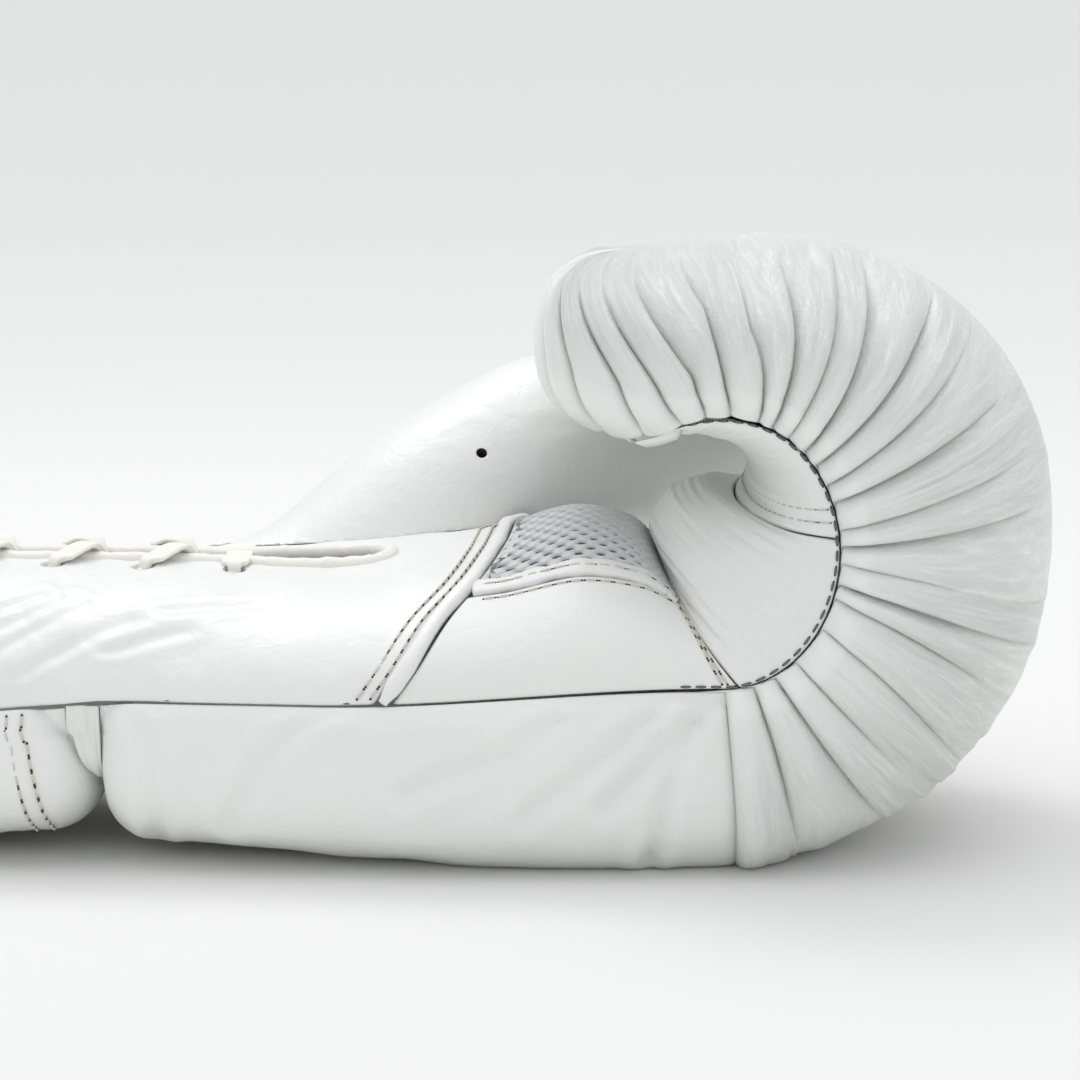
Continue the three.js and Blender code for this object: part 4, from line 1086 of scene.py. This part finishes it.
angles = np.linspace(1, PIPING_TO, 110)
girth = lerp(0.55, 1, smooth(angles, 0, 9))
strip("heel_end_piping", palm_point(heel_end(angles) + 1.1 / HAND_LENGTH, angles, -0.1),
      palm_normal(heel_end(angles), angles), 1.9 * girth, 1.6 * girth, ["heel_piping"], white_leather)
for name, angle in (("near", MESH_TURN), ("far", 180 - MESH_TURN)):
    places = np.linspace(palm_from(angle) - 0.004, palm_to(angle) - 0.01, 90)
    strip("net_edge_" + name, palm_point(places, angle, -0.7), palm_normal(places, np.full(90, float(angle))),
          3.1, 1.15, ["mesh_edge_" + name], soft_leather, power=0.6)

outline = slot_outline(ROLL_RADIUS, -CUFF_LENGTH, 90)
place, angle = palm_angle_over(outline[:, 0], outline[:, 1])
count = np.arange(len(outline))
gather = 1 + 0.12 * np.sin(count * 1.9) * value_noise(count / 3.0, count * 0, 61)
pattern = Pattern()
line = palm_point(place, angle, -LEATHER / 2 + 0.5)
pattern.tube(roll_rings(line, vec(0, 0, 1) + 0 * line, ROLL_RADIUS * gather, ROLL_RADIUS * gather))
dress(pattern.piece("slot_rolled_edge"), cream_binding, ["slot_binding"])

slot_edge = -SLOT_CLOSED - 2 * ROLL_RADIUS
near_place, near_angle = palm_angle_over(-CUFF_LENGTH, np.linspace(slot_edge, slot_edge * 2, 6))
near = palm_point(near_place, near_angle, -LEATHER / 2)
side_part = palm_point(-1.0, np.linspace(36, 6, 14), -LEATHER / 2)
under = cuff_point(-1.0, np.linspace(0, 2, 60), deep=0.5)
mouth = np.concatenate([near, side_part, under])
mouth = np.concatenate([mouth, mirrored(mouth)[-2::-1]])
mouth[:, 0] = -CUFF_LENGTH - CUFF_ROLL - GAP
strip("cuff_rolled_edge", mouth, vec(1, 0, 0) + 0 * mouth, CUFF_ROLL - 0.2, CUFF_ROLL - 0.2,
      ["cuff_binding"], cream_binding, wobble=0.05, power=1.0)

# %% [markdown]
# ## The net
#
# The palm is aired through a knitted net. Its holes stand in rows that are offset by half a
# hole, like bricks. Every cell is a ring of faces round its hole: the thread's crest, its
# shoulder, the rim and the wall of the hole. The wall and the cell's underside take the dark
# backing finish, which is painted shade.

# %% Net
NET_COLUMNS, NET_ROWS = 11, 25
NET_FROM, NET_TO = MESH_TURN + 2.2, 180 - MESH_TURN - 2.2
NET_THICKNESS = 2.0
HOLE_HALF_LENGTH, HOLE_HALF_WIDTH = 1.3, 1.12
NET_RINGS = [  # share of the way from the cell's edge to its hole, lift, share of the crest
    (0, 0.15, 1), (0.45, 0.05, 0.6), (0.8, -0.2, 0), (1, -0.5, 0), (1, -NET_THICKNESS, 0),
    (0, -NET_THICKNESS, 0),
]


def net_place(u, v):
    angle = lerp(NET_FROM, NET_TO, v / NET_ROWS)
    u = np.clip(u, 0, NET_COLUMNS)
    return lerp(palm_from(angle), palm_to(angle), u / NET_COLUMNS), angle


def net_point(u, v, lift):
    return palm_point(*net_place(u, v), lift)


def net_cell(pattern, u, v, width):
    quarter = width / 4
    edge = [(quarter * k, 0) for k in range(4)] + [(width, 0), (width, 0.5), (width, 1)]
    edge = np.array(edge + [(quarter * k, 1) for k in (3, 2, 1, 0)] + [(0, 0.5)], float)
    turn = np.arctan2(edge[:, 1] - 0.5, (edge[:, 0] - width / 2) / width)
    edge_place, edge_angle = net_place(u + edge[:, 0], v + edge[:, 1])
    middle_place, middle_angle = net_place(u + width / 2, v + 0.5)
    hole_place = middle_place + HOLE_HALF_LENGTH / HAND_LENGTH * rounded(np.cos(turn), 0.8)
    hole_angle = middle_angle + HOLE_HALF_WIDTH * rounded(np.sin(turn), 0.8)
    crest = 0.25 * np.abs(np.sin(2 * np.pi * (edge[:, 0] + u))) ** 2
    rings = []
    for share, lift, raised in NET_RINGS:
        place, angle = lerp(edge_place, hole_place, share), lerp(edge_angle, hole_angle, share)
        rings.append(palm_point(place, angle, lift + raised * crest))
    ids = pattern.grid(np.stack(rings))
    first = len(pattern.faces)
    pattern.skin(np.hstack([ids, ids[:, :1]]))
    # The hole's wall and the cell's underside take the second finish, the dark backing, which is painted
    # shade.
    pattern.dark.extend(range(first + 3 * 12, len(pattern.faces)))


def net_filler(pattern, u, v, width):
    half = width / 2
    edge = np.array([(0, 0), (half, 0), (width, 0), (width, 0.5), (width, 1), (half, 1), (0, 1), (0, 0.5)])
    for lift in (0.15, -NET_THICKNESS):
        ids = pattern.grid(net_point(u + edge[:, 0], v + edge[:, 1], lift + 0 * edge[:, 0])[None])[0]
        pattern.faces.append([int(k) for k in ids])


pattern = Pattern()
for v in range(NET_ROWS):
    shift = 0.5 * (v % 2)
    for u in range(NET_COLUMNS - v % 2):
        net_cell(pattern, u + shift, v, 1.0)
    if v % 2:
        net_filler(pattern, 0, v, 0.5)
        net_filler(pattern, NET_COLUMNS - 0.5, v, 0.5)
net = pattern.piece("palm_net")
only(net)
bpy.ops.object.mode_set(mode="EDIT")
bpy.ops.mesh.select_mode(type="EDGE")
bpy.ops.mesh.select_all(action="DESELECT")
bpy.ops.mesh.select_non_manifold()
bpy.ops.mesh.bridge_edge_loops()
bpy.ops.mesh.select_all(action="SELECT")
bpy.ops.mesh.normals_make_consistent(inside=False)
bpy.ops.object.mode_set(mode="OBJECT")
dress(net, net_thread, ["palm_mesh"], more=[net_backing_shade])
only(net)
bpy.ops.object.shade_smooth_by_angle(angle=np.radians(50))

# %% [markdown]
# ## The lace
#
# One flat woven lace is crossed over six rows of eyelets. A strand comes up out of an eyelet,
# lies flat over its own side, and is drawn together where it dives under the far side.

# %% Lace
LACE_WIDTH, LACE_THICKNESS, LACE_GATHERED = 7.0, 1.5, 3.2
STRAND = [  # share of the way, height over the leather in thicknesses, width
    (0, -2.13, 0), (0.02, 0.4, 0), (0.11, 0.93, 1), (0.34, 2.07, 0.8), (0.45, 0.87, 0),
    (0.57, -2.67, 0), (0.7, -3.33, 0.6), (0.96, -2.8, 0), (1, -0.4, 0),
]
BAR = [(0, -2.13, 0), (0.02, 0.2, 0), (0.1, 0.5, 0.8), (0.25, 0.6, 1), (0.4, 0.1, 0.9)]
BAR = BAR + [(1 - share, lift, wide) for share, lift, wide in BAR[::-1]]


def lace_strand(pattern, start, end, stops, count=64, sides=18):
    start, end = np.array(start, float), np.array(end, float)
    share = (1 - np.cos(np.linspace(0, np.pi, count))) / 2
    share = lerp(np.linspace(0, 1, count), share, 0.5)
    lift, wide = curve_through(stops)(share)
    wide = np.clip(wide, 0, 1)
    across = lerp(start, end, share[:, None])
    place, angle = palm_angle_over(across[:, 0], across[:, 1])
    points = palm_point(place, angle, lift * LACE_THICKNESS)
    way = unit(end - start)
    side = vec(-way[1], way[0], 0)
    rise = unit(-np.cross(side, np.gradient(points, axis=0)))
    turn = np.linspace(0, 2 * np.pi, sides, endpoint=False)
    c, s = rounded(np.cos(turn), 0.55), rounded(np.sin(turn), 0.7)
    half = lerp(LACE_GATHERED, LACE_WIDTH, wide)[:, None] / 2
    thick = lerp(1.4, 0.85, wide)[:, None] * LACE_THICKNESS / 2
    cup = -0.5 * (1 - c**2) * (1 - wide[:, None])
    rings = points[:, None] + side * (half * c)[..., None] + rise[:, None] * (thick * s + cup)[..., None]
    length = np.concatenate([[0], np.cumsum(np.linalg.norm(np.diff(points, axis=0), axis=-1))])
    marks = np.stack(np.broadcast_arrays(length[:, None], c[None, :] * LACE_WIDTH / 2, 0.0), -1)
    pattern.tube(rings, marks)


pattern = Pattern()
first = EYELET_FIRST
lace_strand(pattern, (first, -EYELET_SPREAD), (first, EYELET_SPREAD), BAR)
for row in range(EYELET_ROWS - 1):
    for side in (-1, 1):
        x = EYELET_FIRST - row * EYELET_PITCH
        lace_strand(pattern, (x - EYELET_PITCH, side * EYELET_SPREAD), (x, -side * EYELET_SPREAD), STRAND)
dress(pattern.piece("flat_lace"), plain_cotton, ["lace"])

# %% [markdown]
# ## Stitches
#
# Every stitch is a short rounded thread that dips into a needle hole at each end, drawn as a
# small dark disc of painted shade. Rows are worked out from points along a line and spaced
# evenly, and each row's stitches are one joined mesh.

# %% Stitch rows
STITCH_PITCH, STITCH_LENGTH, STITCH_RADIUS = 3.4, 2.5, 0.3


def spaced(points, normals, pitch):
    """Middles, directions and normals of stitches at even steps along a dense line."""
    length = np.concatenate([[0], np.cumsum(np.linalg.norm(np.diff(points, axis=0), axis=-1))])
    at = np.arange(pitch / 2, length[-1], pitch)
    middle = np.stack([np.interp(at, length, points[:, k]) for k in range(3)], -1)
    ahead = np.stack([np.interp(at + 0.8, length, points[:, k]) for k in range(3)], -1)
    behind = np.stack([np.interp(at - 0.8, length, points[:, k]) for k in range(3)], -1)
    normal = unit(np.stack([np.interp(at, length, normals[:, k]) for k in range(3)], -1))
    return middle, unit(ahead - behind), normal


class Sewing:
    """Gathers the stitches and the needle holes of one group of rows."""

    def __init__(self):
        self.thread, self.holes = Pattern(), Pattern()

    def row(self, points, normals, pitch=STITCH_PITCH, length=STITCH_LENGTH, radius=STITCH_RADIUS,
            proud=0.1, hole=0.3):
        turn = np.linspace(0, 2 * np.pi, 6, endpoint=False)[:, None]
        for middle, along, normal in zip(*spaced(points, normals, pitch)):
            side = np.cross(along, normal)
            reach = np.array([-0.5, -0.4, 0, 0.4, 0.5]) * length
            sink = np.array([-0.55, proud * 0.5, proud, proud * 0.5, -0.55])
            girth = radius * np.array([0.7, 1, 1.05, 1, 0.7])
            spine = middle + along * reach[:, None] + normal * sink[:, None]
            ring = side * np.cos(turn) + normal * np.sin(turn)
            self.thread.tube(spine[:, None] + girth[:, None, None] * ring)
            # Each needle hole is a small dark disc of painted shade.
            for end in (-0.56, 0.56):
                centre = middle + along * end * length
                disc = centre + hole * (side * np.cos(turn) + along * np.sin(turn))
                self.holes.tube(np.stack([disc - 0.5 * normal, disc + 0.05 * normal]))

    def finish(self, name, thread):
        dress(self.thread.piece(name + "_stitches"), thread)
        dress(self.holes.piece(name + "_needle_hole_shade"), painted_hole_shade)


def palm_row(sewing, places, angles, lift=0.0, **settings):
    places, angles = np.broadcast_arrays(np.asarray(places, float), np.asarray(angles, float))
    sewing.row(palm_point(places, angles, lift), palm_normal(places, angles), **settings)


palm_rows = Sewing()
dense = np.linspace(0, 1, 240)
near_angles = lerp(2.5, FAR_LINE - 3, dense)
for off in (2.3, 5.4):
    palm_row(palm_rows, heel_end(near_angles) - off / HAND_LENGTH, near_angles)
far_angles = lerp(FAR_LINE + 14, 176, dense)
for off in (2.4, 5.2):
    palm_row(palm_rows, heel_end(far_angles) - off / HAND_LENGTH, far_angles)
band_places = lerp(0.12, 0.66, dense)
for angle in (FAR_LINE + 4, FAR_LINE + 7.5):
    palm_row(palm_rows, band_places, angle, lift=band_rise(band_places, angle))
for angle, low_side in ((MESH_TURN, -1), (180 - MESH_TURN, 1)):
    for off, lift in ((0.2, 0.4), (7.2, 0.05)):
        along = lerp(palm_from(angle) + 0.012, palm_to(angle) - 0.016, dense)
        palm_row(palm_rows, along, angle + low_side * off, lift=lift)
for angles in (lerp(2, 50, dense), lerp(178, 130, dense)):
    for at_seam, at_crest in ((10, 4.2), (5.6, 1.3)):
        off = lerp(at_seam, at_crest, smooth(np.abs(90 - angles), 88, 40))
        palm_row(palm_rows, palm_to(angles) - off / HAND_LENGTH, angles)
palm_rows.finish("palm", pale_thread)

finger_rows = Sewing()
for off in (3.5, 6.5):
    palm_row(finger_rows, FOLD + EDGE_SHIFT + off / 45, lerp(3, 177, dense), radius=0.24, hole=0.2)
finger_rows.finish("finger_join", join_thread)

# The side seam's dark stitches are partly thread and partly painted shade of the groove the seam lies in.
seam_rows = Sewing()
for angle in (1.2, 178.8):
    palm_row(seam_rows, lerp(0.1, 0.42, dense), angle, lift=-0.3, length=1.6, radius=0.24, hole=0.15)
    palm_row(seam_rows, lerp(0.93, 3.2, np.linspace(0, 1, 900)), angle, lift=0.05, length=1.7, radius=0.3,
             hole=0.24)
seam_rows.finish("side_seam", seam_stitch_shade)


def cuff_row(sewing, place, share_from, share_to, mirror):
    share = lerp(share_from, share_to, dense)
    point = cuff_point(place, share, inset=-full_corner(share))
    out = unit(point - cuff_point(place, share, deep=0.5))
    if mirror:
        point, out = mirrored(point), mirrored(out)
    sewing.row(point + 0.1 * out, out)


cuff_rows = Sewing()
for mirror in (False, True):
    for off in (9.5, 13.0):
        cuff_row(cuff_rows, CUFF_END - off / CUFF_LENGTH, 0.15, 1.6, mirror)
cuff_rows.finish("cuff", pale_thread)

# %% [markdown]
# ## Floor and light
#
# The glove lies on a plain white paper sweep, as in a studio. A bright pale sky lights it from
# all round, a wide soft sun comes from above, and a small lamp adds the gleam on the leather.

# %% Stage
FLOOR_HALF = 4.0
FLOOR_WIDER = 3
FLOOR_BELOW = 0.0002
BACK_WALL = 3.0
SWEEP_RADIUS = 1.8
bpy.ops.mesh.primitive_plane_add(size=2 * FLOOR_HALF, location=(0, 0, -FLOOR_BELOW))
floor = bpy.context.object
floor.name = "floor"
only(floor)
bpy.ops.object.mode_set(mode="EDIT")
bpy.ops.mesh.select_mode(type="EDGE")
bpy.ops.mesh.select_all(action="DESELECT")
cage = bmesh.from_edit_mesh(floor.data)
for edge in cage.edges:
    edge.select = all(v.co.y > 0 for v in edge.verts)
cage.select_flush(True)
bmesh.update_edit_mesh(floor.data)
bpy.ops.mesh.extrude_region_move(TRANSFORM_OT_translate={"value": (0, 0, BACK_WALL)})
bpy.ops.object.mode_set(mode="OBJECT")
bend = floor.modifiers.new("sweep", "BEVEL")
bend.width = SWEEP_RADIUS
bend.segments = 24
bend.limit_method = "ANGLE"
bpy.ops.object.modifier_apply(modifier=bend.name)
bpy.ops.object.shade_smooth()
floor.scale.x = FLOOR_WIDER
bpy.ops.object.transform_apply(location=True, rotation=True, scale=True)
paper, tree = new_material("matt_white_paper")
shader = add_node(tree, "BsdfPrincipled", Base_Color=colour("#EEEEEC"), Roughness=0.9)
add_node(tree, "OutputMaterial", Surface=shader.outputs["BSDF"])
floor.data.materials.append(paper)

# %% Light
SKY_STRENGTH = 0.77
SUN_STRENGTH = 0.8
GLEAM_WATTS = 1.6

world = bpy.data.worlds.new("studio")
bpy.context.scene.world = world
world.use_nodes = True
world.node_tree.nodes["Background"].inputs["Color"].default_value = colour("#F7F8FB")
world.node_tree.nodes["Background"].inputs["Strength"].default_value = SKY_STRENGTH

bpy.ops.object.light_add(type="SUN", location=(0, -0.5, 1.5))
daylight = bpy.context.object
daylight.name = "wide_soft_daylight"
daylight.data.energy = SUN_STRENGTH
daylight.data.angle = np.radians(75)
daylight.rotation_euler = Vector((0.08, -0.1, -1)).to_track_quat("-Z", "Y").to_euler()
bpy.ops.object.light_add(type="AREA", location=(-0.15, 0.35, 0.9))
gleam = bpy.context.object
gleam.name = "small_gleam"
gleam.data.size = 0.35
gleam.data.energy = GLEAM_WATTS
gleam.rotation_euler = (Vector((0.05, 0, 0.1)) - gleam.location).to_track_quat("-Z", "Y").to_euler()
bpy.context.scene.view_settings.view_transform = "Standard"
